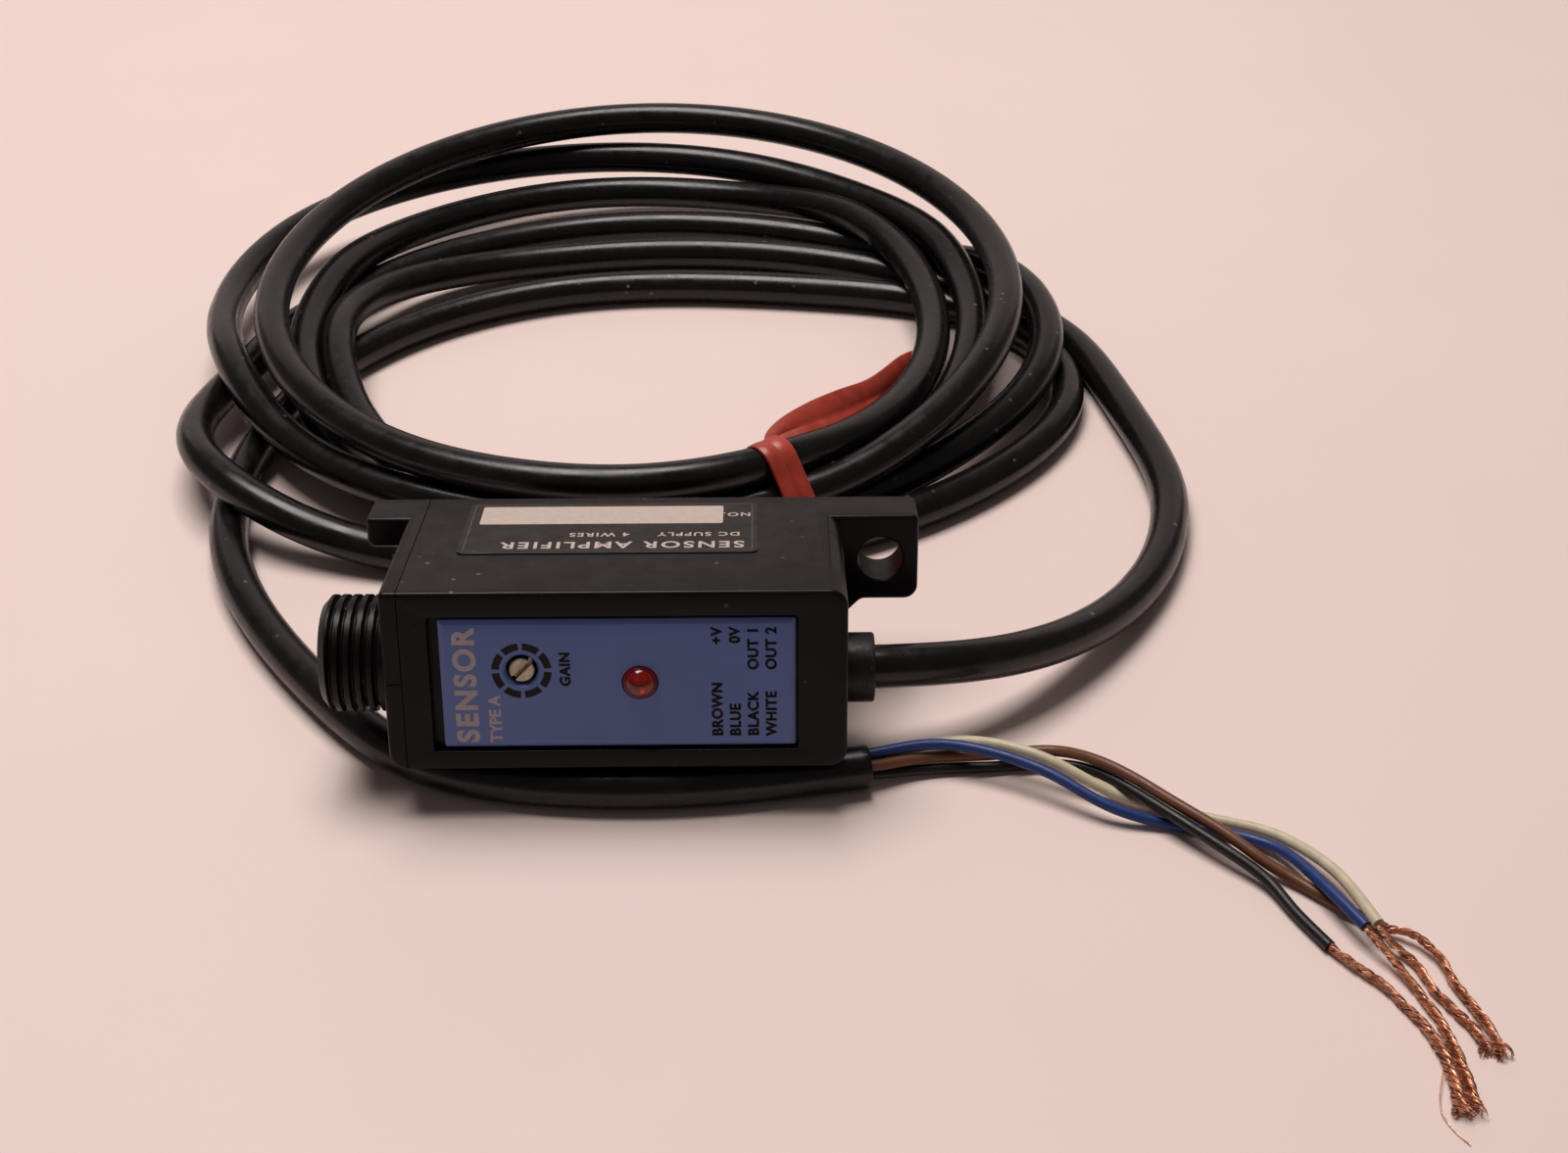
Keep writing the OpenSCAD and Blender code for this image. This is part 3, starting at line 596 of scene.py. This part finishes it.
HOLDER = surface("holder_black", (0.016, 0.016, 0.017), 0.5, patch=(1.5, 0.75), grain=(0.12, 0.01))
GRIP = surface("grip_rubber", (0.022, 0.022, 0.024), 0.6, patch=(0.8, 0.7), grain=(0.1, 0.012))
SENSOR_TINT = surface("sensor_tint", (0.03, 0.035, 0.07), 0.16, patch=(1, 0.8), grain=(0.3, 0.003),
                      Coat_Weight=0.5)
CORE_COLOURS = {"brown": (0.15, 0.058, 0.028), "blue": (0.018, 0.042, 0.17),
                "black": (0.011, 0.009, 0.0085), "white": (0.6, 0.52, 0.37)}
CORE_SKINS = {k: surface("core_" + k, c, 0.38, patch=(1.6, 0.84), grain=(0.18, 0.006),
                         Specular_IOR_Level=0.3)
              for k, c in CORE_COLOURS.items()}


def copper_material():
    """Bare copper, bright on the strands' crowns and browner where it has tarnished."""
    material, shader = principled("copper", (0.86, 0.42, 0.24), 0.34, 1.0)
    g = Graph(material)
    tarnish = g.span(g.noise(0.9, lumps=0.4), 0.42, 0.66, 0, 1)
    tint = g.mix(tarnish, (0.85, 0.47, 0.31), (0.38, 0.18, 0.11))
    g.link(tint, shader.inputs["Base Color"])
    g.link(g.span(g.noise(0.5), 0.3, 0.7, 0.24, 0.5), shader.inputs["Roughness"])
    g.bump(shader, g.noise(0.06), 0.01)
    return material


def lamp_material(name, colour, rough):
    """Clear red epoxy of slightly uneven colour and gloss."""
    material, shader = principled(name, colour, rough, IOR=1.52, Transmission_Weight=0.75,
                                  Coat_Weight=0.1, Coat_Roughness=0.05)
    g = Graph(material)
    tint = g.mix(g.span(g.noise(1.6), 0.35, 0.65, 0, 1), tuple(c * 0.6 for c in colour), colour)
    g.link(tint, shader.inputs["Base Color"])
    g.link(g.span(g.noise(0.7), 0.3, 0.7, rough * 0.6, rough * 1.8), shader.inputs["Roughness"])
    g.bump(shader, g.noise(0.5), 0.004)
    return material


COPPER = copper_material()
LAMP_RED = lamp_material("lamp_red", (0.6, 0.022, 0.008), 0.06)


def finish(obj, material, body="housing", replaces=()):
    """Gives a new piece its material and the body that it rides on."""
    obj.data.materials.clear()
    obj.data.materials.append(material)
    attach(obj, body)
    if replaces:
        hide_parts(*replaces)
    return obj


# ------------------------ the lead and its cores
def jacket_end():
    """The cut end of the jacket: a short ring that leaves the cores a dark mouth."""
    at = Vector(TAIL[-1])
    along = (at - Vector(TAIL[-2])).normalized()
    turn = along.to_track_quat("X", "Z").to_matrix().to_4x4()
    place = Matrix.Translation(at * MM) @ turn
    r, t = CABLE_D / 2, 0.55
    profile = [(-0.8, r - 0.02), (0.2, r), (0.36, r - 0.08), (0.4, r - 0.25), (0.34, r - t),
               (0.2, r - t - 0.08), (-0.8, r - t - 0.1)]
    return turned("jacket_end", profile, (0, 0, 0), "x", 48, closed=True, place=place)


def strand_line(rng, k, line, side, up, along, s, loosen, flare):
    """Centreline of strand number k of a bundle round line, down to where it ends."""
    n = len(line)
    inner = k < STRANDS // 4
    phase = 2 * math.pi * k / STRANDS * (3 if inner else 1) + rng.uniform(-0.3, 0.3)
    r0 = BUNDLE_R * (0.35 if inner else rng.uniform(0.78, 1.0))
    wander = np.cumsum(rng.normal(0, 0.02, n))
    splay = flare * np.clip((along - 0.86) / 0.14, 0, 1) ** 1.6 * rng.uniform(0.2, 1.3)
    swell = 1 + 0.16 * np.sin(s * rng.uniform(0.5, 0.9) + rng.uniform(0, 6)) + wander * 0.4
    r = r0 * swell * (1 + loosen * along ** 2) + splay
    a = phase + 2 * math.pi * s / STRAND_LAY + wander
    centre = line + r[:, None] * (np.cos(a)[:, None] * side + np.sin(a)[:, None] * up)
    centre[:, 2] = np.maximum(centre[:, 2], STRAND_D / 2 + 0.02)
    return centre[:n - int(rng.integers(0, 5))]


def strands(name, route, loosen, flare, seed, sides=6):
    """A bundle of fine twisted strands along a route. loosen is how much thicker the bundle gets
    towards its tip, and flare how far the strands splay there."""
    rng = np.random.default_rng(seed)
    line = resample(smooth(route, 10), 0.3)
    tangent = np.gradient(line, axis=0)
    tangent /= np.linalg.norm(tangent, axis=1)[:, None]
    side = np.cross(tangent, (0, 0, 1.0))
    side /= np.linalg.norm(side, axis=1)[:, None]
    up = np.cross(side, tangent)
    along = np.linspace(0, 1, len(line))
    s = along * lengths(line).sum()
    verts, faces = [], []
    for k in range(STRANDS):
        base = len(verts)
        rings = []
        for i, centre in enumerate(strand_line(rng, k, line, side, up, along, s, loosen, flare)):
            angles = [2 * math.pi * q / sides for q in range(sides)]
            rings.append([centre + STRAND_D / 2 * (math.cos(b) * side[i] + math.sin(b) * up[i])
                          for b in angles])
        points, skin = loft(rings)
        verts += points
        faces += [tuple(base + q for q in face) for face in skin]
    return make(name, verts, faces, place=Matrix(), sharp=60)


def stray_hair():
    """One loose strand lying beside the frayed end."""
    points = smooth([(80.2, -56.5, 0.7), (79.2, -59.3, 0.5), (78.9, -61.5, 0.3), (79.6, -63.6, 0.2),
                     (80.6, -65.2, 0.2)], 6)
    return curve("stray_strand", points, HAIR_D, 2)


end_ring = finish(jacket_end(), JACKET)
lead = finish(curve("signal_lead", cable_line, CABLE_D, 7), JACKET,
              replaces=("cable_lead", "cable_coil", "cable_tail"))

for seed, (name, route) in enumerate(CORES.items()):
    start = Vector(route[0]) - Vector((1.2, -0.1, 0))
    points = relax(resample(smooth([start] + route, 8), 0.8), 10)
    bundle = strands("copper_strands_" + name, COPPERS[name], *FRAY[name], seed + 11)
    finish(bundle, COPPER, replaces=("copper_" + name,))
    core = finish(curve("core_" + name, points, CORE_D, 4), CORE_SKINS[name],
                  replaces=("wire_" + name,))
    if name == "black":
        finish(stray_hair(), COPPER)


# ------------------------ the tie round the coil
TIE_AT, TIE_ALONG = (18.5, 36.3), 40.0    # where it is wound, and the strands' direction in degrees
TIE_W, TIE_T, TIE_REACH = 4.4, 0.72, 16   # it holds the strands within its reach of that place
# The two edges of its free end, from the winding to where it goes under the coil
BOW_INNER = [(15.2, 40.8, 13.2), (15.9, 44.4, 13.1), (18.1, 49, 12.6), (21.5, 53.2, 12.2),
             (24.9, 56.3, 12), (29.1, 60.4, 11.3), (32, 66.2, 9.8), (35.4, 74, 8), (38.5, 81, 5)]
BOW_OUTER = [(17.6, 42.4, 12.2), (18.6, 43.8, 11.4), (21.5, 47.2, 9.6), (25, 50, 8.6),
             (28.2, 53.7, 7.6), (31.4, 58.4, 7), (34.4, 65, 4.8), (37.6, 72.5, 3.9),
             (40.5, 79.5, 2.6)]


def hull(points):
    """Corners of the convex hull, anticlockwise."""
    points = sorted(map(tuple, points))

    def chain(sequence):
        out = []
        for p in sequence:
            while len(out) > 1 and np.cross(np.subtract(out[-1], out[-2]),
                                            np.subtract(p, out[-1])) <= 0:
                out.pop()
            out.append(p)
        return out[:-1]

    return chain(points) + chain(points[::-1])


def band(name, path, across, closed):
    """A flat two-ridged vinyl band along a path; across reaches from its middle to its edge."""
    w, t, dip = 1.0, TIE_T / 2, 0.17
    half = [(w, 0.55 * t), (0.9 * w, 0.93 * t), (0.5 * w, t), (0.12 * w, 0.86 * t), (0, dip)]
    section = half + [(-x, y) for x, y in half[-2::-1]]
    section += [(-x, -y) for x, y in section]
    rings = []
    n = len(path)
    for i in range(n):
        ahead = path[(i + 1) % n] if closed else path[min(i + 1, n - 1)]
        behind = path[i - 1] if closed else path[max(i - 1, 0)]
        tangent = (Vector(ahead) - Vector(behind)).normalized()
        side = Vector(across[i]) - tangent * Vector(across[i]).dot(tangent)
        normal = tangent.cross(side).normalized()
        rings.append([Vector(path[i]) + side * x + normal * y for x, y in section])
    return make(name, *loft(rings, closed), place=Matrix(), sharp=50)


def tie_wrap():
    """The band drawn tight round the strands that it holds."""
    a = math.radians(TIE_ALONG)
    along = np.array([math.cos(a), math.sin(a), 0])
    radial = np.array([-math.sin(a), math.cos(a), 0])
    at = np.array([*TIE_AT, 0.0])
    offset = (cable_line - at) @ along
    section = []
    for i in np.nonzero(np.diff(np.sign(offset)))[0]:
        t = offset[i] / (offset[i] - offset[i + 1])
        p = cable_line[i] + t * (cable_line[i + 1] - cable_line[i])
        if abs((p - at) @ radial) < TIE_REACH:
            section.append(((p - at) @ radial, p[2]))
    r = CABLE_D / 2 + TIE_T / 2 + 0.02
    rim = [(x + r * math.cos(b), z + r * math.sin(b)) for x, z in section
           for b in np.linspace(0, 2 * math.pi, 40, endpoint=False)]
    loop = [at + x * radial + np.array([0, 0, max(z, TIE_T / 2)]) for x, z in hull(rim)]
    loop = resample(np.array(loop + loop[:1]), 0.7)[:-1]
    for _ in range(3):
        loop = loop / 2 + (np.roll(loop, 1, 0) + np.roll(loop, -1, 0)) / 4
    return band("tie_wrap", loop, [along * TIE_W / 2] * len(loop), True)


def tie_bow():
    """The band's free end, which swings out along the coil and under it."""
    inner, outer = smooth(BOW_INNER, 6), smooth(BOW_OUTER, 6)
    return band("tie_bow", (inner + outer) / 2, (outer - inner) / 2, False)


finish(tie_wrap(), TIE_RED, replaces=("coil_tie",))
finish(tie_bow(), TIE_RED)


# ------------------------ the case
CASE_CORNERS = [(-HALF, 0), (HALF, 0), (HALF, CASE_H), (-HALF, CASE_H)]
CASE_RADII = [EDGE_R, EDGE_R, EDGE_R, TOP_EDGE_R]


def case_block(name):
    """The whole case, end cap included, as a solid with its panel recess."""
    recess, radii = box_corners(RECESS_X, PANEL_Z, RECESS_L, RECESS_H), [RECESS_R] * 4
    lip = 0.15
    rings = [(recess, radii, -CASE_D + RECESS_T, 0), (recess, radii, -CASE_D + lip, 0)]
    for k in (1, 2, 3):
        a = k / 3 * math.pi / 2
        rings.append((recess, radii, -CASE_D + lip * (1 - math.sin(a)), -lip * (1 - math.cos(a))))
    rings += [(CASE_CORNERS, CASE_RADII, y, w) for y, w in rolled(-CASE_D, 0)]
    return make(name, *loft([[(p.x, y, p.y) for p in rounded(corners, radii, w)]
                             for corners, radii, y, w in rings]))


def cutter_box(low, high):
    """A plain block between two corners."""
    x0, y0, z0 = low
    x1, y1, z1 = high
    corners = box_corners((x0 + x1) / 2, (z0 + z1) / 2, x1 - x0, z1 - z0)
    rings = [[(x, y, z) for x, z in corners] for y in (y0, y1)]
    return make("cutter", *loft(rings))


def case_shell():
    """Shell with its cavity, drilled ear, gusset and holes."""
    shell = case_block("case_shell_moulding")
    x1, z0 = HALF + EAR_L, CASE_H - EAR_H
    ear_corners = [(HALF - 3, z0 - GUSSET - 0.6), (HALF - 0.6, z0 - GUSSET - 0.6),
                   (HALF + GUSSET, z0), (x1, z0), (x1, CASE_H), (HALF - 3, CASE_H)]
    combine(shell, slab("ear", ear_corners, [0.1, 0.1, 1.2, 1.6, 0.8, 0.1], -EAR_T, 0), "UNION")
    combine(shell, cutter_box((-HALF - 1, -CASE_D - 1, -1), (JOINT_X + CAP_GAP, 1, CASE_H + 1)))
    combine(shell, cutter_box((JOINT_X - 1, -CASE_D + FRONT_T, WALL),
                              (HALF - WALL, -BACK_T, CASE_H - WALL)))
    combine(shell, hole("y", (TRIM_X, 0, TRIM_Z), TRIM_HOLE, -CASE_D, -CASE_D + FRONT_T + 1))
    combine(shell, hole("y", (LAMP_X, 0, LAMP_Z), LAMP_D + 0.3, -CASE_D, -CASE_D + FRONT_T + 1))
    combine(shell, hole("x", (0, GLAND_Y, GLAND_Z), GLAND_HOLE, HALF - WALL - 1, HALF + 1))
    combine(shell, hole("y", (EAR_HOLE_X, 0, EAR_HOLE_Z), EAR_HOLE_D, -EAR_T, 0, 0.18))
    tidy(shell)
    return shell


def thread_radius(x, angle):
    """Outside radius of the port at distance x from its mouth: a rounded crest on each turn."""
    turn = (x / PITCH + angle / (2 * math.pi)) % 1.0
    valley = max(0.0, math.cos(2 * math.pi * (turn - 0.5))) ** 0.8
    runout = min(1.0, max(0.0, (NOSE_L - 0.45 - x) / 0.35))
    lead_in = NOSE_D / 2 - 1.0 + x * 1.15
    return min(NOSE_D / 2 - THREAD_DEPTH * valley * runout, lead_in)


def threaded_nose(sides=96, steps=110):
    """The fibre port: threaded outside, bored through, with a rounded mouth."""
    foot = NOSE_L + NOSE_FOOT
    rings = []
    for i in range(steps + 1):
        x = foot - foot * i / steps
        rings.append([(NOSE_X + x, thread_radius(x, 2 * math.pi * k / sides))
                      for k in range(sides)])
    bore = NOSE_BORE / 2
    for x, r in ((0, NOSE_D / 2 - 1.25), (0, bore + 0.25), (0.12, bore + 0.06), (0.3, bore),
                 (foot, bore)):
        rings.append([(NOSE_X + x, r)] * sides)
    skin = [[(x, PORT_Y + r * math.cos(2 * math.pi * k / sides),
              PORT_Z + r * math.sin(2 * math.pi * k / sides)) for k, (x, r) in enumerate(ring)]
            for ring in rings]
    return make("nose", *loft(skin, closed=True), sharp=50)


def nose_cap():
    """End cap: flange, spigot, tab and the threaded fibre port."""
    cap = case_block("nose_cap_moulding")
    combine(cap, cutter_box((JOINT_X, -CASE_D - 1, -1), (HALF + 1, 1, CASE_H + 1)))
    combine(cap, cutter_box((-HALF - 1, -CASE_D - 1, SEAM_Z),
                            (JOINT_X + 1, -CASE_D + SEAM_DEEP, SEAM_Z + SEAM_H)))
    z0 = CASE_H - TAB_H
    tab = slab("tab", [(-HALF - TAB_L, z0), (-HALF + 1, z0), (-HALF + 1, CASE_H),
                       (-HALF - TAB_L, CASE_H)], [1, 0.1, 0.1, 0.5], -EAR_T, 0)
    combine(cap, tab, "UNION")
    z0, z1 = WALL + CAP_GAP, CASE_H - WALL - CAP_GAP
    y0, y1 = -CASE_D + FRONT_T + CAP_GAP, -BACK_T - CAP_GAP
    spigot = cutter_box((JOINT_X - 0.4, y0, z0), (JOINT_X + SPIGOT_L, y1, z1))
    combine(spigot, cutter_box((JOINT_X, y0 + SPIGOT_T, z0 + SPIGOT_T),
                               (JOINT_X + SPIGOT_L + 1, y1 - SPIGOT_T, z1 - SPIGOT_T)))
    combine(cap, spigot, "UNION")
    combine(cap, hole("x", (0, PORT_Y, PORT_Z), NOSE_BORE, -HALF - 1, JOINT_X + 1))
    tidy(cap)
    join(cap, threaded_nose())
    return cap


finish(case_shell(), CASE_PLASTIC, replaces=("case_shell",))
finish(nose_cap(), CASE_PLASTIC, replaces=("nose_cap",))


# ------------------------ front plate, print, fittings
def front_plate():
    """Blue plate with bevelled edges, a countersunk trimmer window and the lamp's window."""
    corners = box_corners(PLATE_X, PANEL_Z, PLATE_L, PLATE_H)
    rings = [(PLATE_Y, 0.62), (PLATE_Y + 0.02, 0.52), (PLATE_Y + 0.24, 0.06),
             (PLATE_Y + 0.32, 0.0), (PLATE_Y + PLATE_T - 0.02, 0.0)]
    plate = make("front_plate", *loft([[(p.x, y, p.y) for p in rounded(corners, [0.3] * 4, w)]
                                       for y, w in rings]), sharp=20)
    window = [(PLATE_Y - 0.5, TRIM_HOLE / 2 + 0.85), (PLATE_Y + 0.25, TRIM_HOLE / 2 + 0.1),
              (PLATE_Y + 0.45, TRIM_HOLE / 2), (PLATE_Y + 2, TRIM_HOLE / 2)]
    combine(plate, turned("cutter", window, (TRIM_X, 0, TRIM_Z), "y"))
    combine(plate, hole("y", (LAMP_X, 0, LAMP_Z), LAMP_D + 0.08, PLATE_Y - 1, PLATE_Y + 2))
    tidy(plate, 20)
    return plate


def dial_dashes():
    """Eight thick dashes round the trimmer's window."""
    inner, outer, gap, steps = 2.42, 3.24, 9, 6
    verts, faces = [], []
    for k in range(8):
        base = len(verts)
        start = math.radians(45 * k + gap / 2 + 1)
        for i in range(steps + 1):
            a = start + math.radians(45 - gap) * i / steps
            for y in (PLATE_Y - PRINT_T, PLATE_Y + 0.01):
                for r in (inner, outer):
                    verts.append((TRIM_X + r * math.cos(a), y, TRIM_Z + r * math.sin(a)))
        for i in range(steps):
            a, b = base + 4 * i, base + 4 * (i + 1)
            faces += [(a, a + 1, b + 1, b), (a + 2, b + 2, b + 3, a + 3),
                      (a + 1, a + 3, b + 3, b + 1), (a, b, b + 2, a + 2)]
        end = base + 4 * steps
        faces += [(base, base + 2, base + 3, base + 1), (end, end + 1, end + 3, end + 2)]
    return make("dial_dashes", verts, faces)


def lettering(name, lines, size, place, thick, spread, bold=0.0):
    """Print as thin solid letters. lines holds (text, x, y, side that x lines up) in the print's
    own plane. Thick fattens the letters, spread spaces them, and bold print is struck twice, so
    far apart."""
    made = []
    strikes = [(0, 0), (bold, 0.6 * bold)] if bold else [(0, 0)]
    for text, x, y, side, dx, dy in [(*line, *strike) for line in lines for strike in strikes]:
        data = bpy.data.curves.new(name, "FONT")
        data.body = text
        data.size = size * MM
        data.extrude = PRINT_T * MM
        data.offset = thick * MM
        data.space_character = spread
        data.align_x = side
        obj = new_object(name, data)
        mesh = evaluated(obj)
        mesh.transform(place @ Matrix.Translation(((x + dx) * MM, (y + dy) * MM, 0)))
        bpy.data.objects.remove(obj)
        made.append(new_object(name, mesh))
    whole = join(*made) if len(made) > 1 else made[0]
    whole.name = name
    tidy(whole)
    return whole


# Print on the plate reads from the bottom upwards: its x runs along +Z and its y along -X
ON_PLATE = SEAT @ Matrix.Translation((0, PLATE_Y * MM, 0)) @ Matrix((
    (0, -1, 0, 0), (0, 0, -1, 0), (1, 0, 0, 0), (0, 0, 0, 1)))
# Print on the top reads from behind: its x runs along -X and its y along -Y
TOP_Z = CASE_H + 0.16
ON_TOP = SEAT @ Matrix.Translation((0, 0, TOP_Z * MM)) @ Matrix((
    (-1, 0, 0, 0), (0, -1, 0, 0), (0, 0, 1, 0), (0, 0, 0, 1)))

# Base line of each column of the wiring table, a core's colour and what it carries
WIRING = [(11.45, "BROWN", "+V"), (13.4, "BLUE", "0V"), (15.35, "BLACK", "OUT 1"),
          (17.3, "WHITE", "OUT 2")]
WIRING_LOW, WIRING_HIGH = 3.8, 16.7
WIRING_LINES = [(colour, WIRING_LOW, -x, "LEFT") for x, colour, duty in WIRING] \
    + [(duty, WIRING_HIGH, -x, "RIGHT") for x, colour, duty in WIRING]

finish(front_plate(), PLATE_BLUE, replaces=("front_label",))
finish(dial_dashes(), PRINT_BLACK)
# Name, lines, letter height, thickness, spacing, distance between strikes, ink, slot
PLATE_PRINT = [
    ("wiring_table", WIRING_LINES, 1.6, 0.04, 1.1, 0.08, PRINT_BLACK, "label_black"),
    ("dial_word", [("GAIN", 9.9, 4.9, "LEFT")], 1.55, 0.04, 1.1, 0.08, PRINT_BLACK, "label_black"),
    ("plate_word", [("SENSOR", 3.3, 15.1, "LEFT")], 3.25, 0.13, 1.2, 0, PRINT_GREY, "label_blue"),
    ("plate_small_word", [("TYPE A", 3.3, 12.6, "LEFT")], 1.75, 0.06, 1, 0, PRINT_GREY,
     "label_blue"),
]
for name, lines, size, thick, spread, bold, ink, slot in PLATE_PRINT:
    finish(lettering(name, lines, size, ON_PLATE, thick, spread, bold), ink)


def lamp():
    """Domed indicator with its flange."""
    r = LAMP_D / 2
    front = PLATE_Y - 1.5
    centre = front + r
    profile = [(front, 0.02)]
    profile += [(centre - r * math.cos(a), r * math.sin(a))
                for a in np.linspace(0.08, math.pi / 2, 16)]
    profile += [(LAMP_BACK - 1.05, r), (LAMP_BACK - 1, r + 0.45), (LAMP_BACK - 0.05, r + 0.5),
                (LAMP_BACK, r + 0.42), (LAMP_BACK, 0.02)]
    return turned("indicator_lens", profile, (LAMP_X, 0, LAMP_Z), "y", 64)


def lamp_core():
    """Reflector cup and post inside the lamp."""
    y = PLATE_Y + 0.35
    profile = [(y + 0.45, 0.02), (y + 0.4, 0.45), (y, 0.85), (y - 0.02, 1.0), (y + 0.1, 1.05),
               (y + 0.9, 0.8), (y + 2.6, 0.6), (y + 2.6, 0.02)]
    return turned("indicator_cup", profile, (LAMP_X, 0, LAMP_Z), "y", 32)


def rotor():
    """Slotted brass rotor: chamfered head, shaft and inner disc."""
    r = ROTOR_D / 2
    end = DISC_Y + DISC_T
    profile = [(ROTOR_FACE, 0.02), (ROTOR_FACE, r - 0.12), (ROTOR_FACE + 0.12, r),
               (DISC_Y - 0.02, r), (DISC_Y, DISC_R - 0.1), (DISC_Y + 0.08, DISC_R),
               (end - 0.08, DISC_R), (end, DISC_R - 0.1), (end, 0.02)]
    piece = turned("rotor_head", profile, (TRIM_X, 0, TRIM_Z), "y", 64)
    cut = cutter_box((-3, ROTOR_FACE - 1, -SLOT_W / 2), (3, ROTOR_FACE + SLOT_DEEP, SLOT_W / 2))
    at = Matrix.Translation((TRIM_X * MM, 0, TRIM_Z * MM))
    cut.data.transform(SEAT @ at @ Matrix.Rotation(math.radians(SLOT_ANGLE), 4, "Y")
                       @ SEAT.inverted())
    combine(piece, cut)
    tidy(piece, 30)
    return piece


def sticker():
    """Rating label on the top with rounded corners."""
    x0, x1, y0, y1 = -18, 15.4, -18, -2.4
    corners = [(x0, y0), (x1, y0), (x1, y1), (x0, y1)]
    rings = [[(p.x, p.y, z) for p in rounded(corners, [0.8] * 4, w, 6)]
             for z, w in ((CASE_H + 0.01, 0), (CASE_H + 0.12, 0), (TOP_Z, 0.05))]
    return make("top_sticker", *loft(rings))


def print_frame(name, x0, x1, y0, y1, line=0.0):
    """A printed rectangle on the top: a thin frame, or a full field where line is 0."""
    z0, z1 = TOP_Z - 0.01, TOP_Z + PRINT_T
    corners = [(x0, y0), (x1, y0), (x1, y1), (x0, y1)]
    outer = rounded(corners, [0.3] * 4, 0, 4)
    if line:
        inner = rounded(corners, [0.3] * 4, line, 4)
        rings = [[(p.x, p.y, z) for p in ring]
                 for ring, z in ((outer, z0), (outer, z1), (inner, z1), (inner, z0))]
        return make(name, *loft(rings, closed=True))
    return make(name, *loft([[(p.x, p.y, z) for p in outer] for z in (z0, z1)]))


def gland():
    """Rubber strain relief: collar outside the wall, neck in it and flange behind it."""
    r, bore = GLAND_D / 2, CABLE_D / 2 + 0.02
    x = HALF + 0.02
    end = HALF + GLAND_L
    inside = HALF - WALL
    neck = GLAND_HOLE / 2 - 0.03
    profile = [(x, r - 0.1), (x + 0.1, r), (end - 0.3, r), (end - 0.12, r - 0.06),
               (end, r - 0.25), (end, bore + 0.2), (end - 0.2, bore), (inside - 1.2, bore),
               (inside - 1.2, r - 0.3), (inside - 1.1, r - 0.2), (inside - 0.1, r - 0.2),
               (inside - 0.05, neck), (x - 0.02, neck)]
    return turned("cable_gland_collar", profile, (0, GLAND_Y, GLAND_Z), "x", 56, closed=True)


finish(lamp(), LAMP_RED, replaces=("indicator_lamp",))
finish(lamp_core(), TIN)
finish(rotor(), BRASS, body="trimmer", replaces=("trimmer_rotor",))
finish(sticker(), STICKER, replaces=("top_label",))
finish(print_frame("sticker_frame", -17.4, 14.8, -17.4, -3.0, 0.12), PRINT_DIM)
finish(print_frame("serial_field", -16.4, 11.4, -9.2, -3.6), PRINT_WHITE)
finish(lettering("sticker_title", [("SENSOR AMPLIFIER", -13.9, 14.9, "LEFT")], 2.7, ON_TOP,
                 0.06, 1.22), PRINT_WHITE)
finish(lettering("sticker_words", [("DC SUPPLY     4 WIRES", -13.4, 12.1, "LEFT"),
                                   ("NO.", -14.6, 5.9, "LEFT")], 1.6, ON_TOP, 0.03, 1.2),
       PRINT_WHITE)
finish(gland(), RUBBER, replaces=("cable_gland",))

# ------------------------ the CAD nodes that stay
KEPT = {
    "fibre_grip": GRIP, "fibre_receptacle": HOLDER, "optics_holder": HOLDER,
    "emitter_led": LAMP_RED, "photodiode": SENSOR_TINT, "shield_can": TIN, "front_board": BOARD,
    "main_board": BOARD, "board_link": CHIP, "trimmer_housing": TRIMMER_BLUE,
    "trimmer_track": CERAMIC, "trimmer_wiper": BRONZE, "indicator_leads": TIN,
    "amplifier_ic": CHIP, "driver_ic": CHIP, "output_transistors": CHIP,
    "electrolytic_capacitor": SLEEVE, "chip_capacitors": CHIP_TAN, "chip_resistors": CHIP,
    "surge_diode": DIODE_GLASS, "cable_clamp": TIN,
}
KEPT.update({"inner_wire_" + k: skin for k, skin in CORE_SKINS.items()})
for node, material in KEPT.items():
    slots = frame["nodes"][node].data.materials
    for k in range(len(slots)):
        slots[k] = material
    if not len(slots):
        slots.append(material)

# ------------------------ floor and light
floor_mesh = bpy.data.meshes.new("floor")
reach = 3.0
floor_mesh.from_pydata([(x, y, 0) for x, y in box_corners(0, 0, 2 * reach, 2 * reach)],
                       [], [(0, 1, 2, 3)])
floor = new_object("floor", floor_mesh)
floor.data.materials.append(surface("table_top", (0.77, 0.63, 0.585), 0.55, patch=(60, 0.985),
                                    grain=(1.2, 0.01), scatter=0.04))


def area_light(name, at, target, size, power, colour=(1, 1, 1)):
    data = bpy.data.lights.new(name, "AREA")
    data.shape = "RECTANGLE"
    data.size, data.size_y = size
    data.energy = power
    data.color = colour
    obj = new_object(name, data)
    obj.location = at
    obj.rotation_mode = "QUATERNION"
    obj.rotation_quaternion = (Vector(target) - Vector(at)).to_track_quat("-Z", "Y")
    return obj


area_light("key", (-0.12, 0.22, 0.85), (0, 0.03, 0), (0.55, 0.4), 8.2, (1, 0.93, 0.9))
area_light("back_card", (0.0, 0.75, 0.3), (0, 0.05, 0.02), (1.4, 0.5), 1.1, (1, 0.82, 0.79))
world = bpy.data.worlds.new("world")
world.use_nodes = True
background = world.node_tree.nodes["Background"]
background.inputs["Color"].default_value = (1, 0.9, 0.88, 1)
background.inputs["Strength"].default_value = 0.1
scene.world = world
scene.view_settings.view_transform = "Standard"
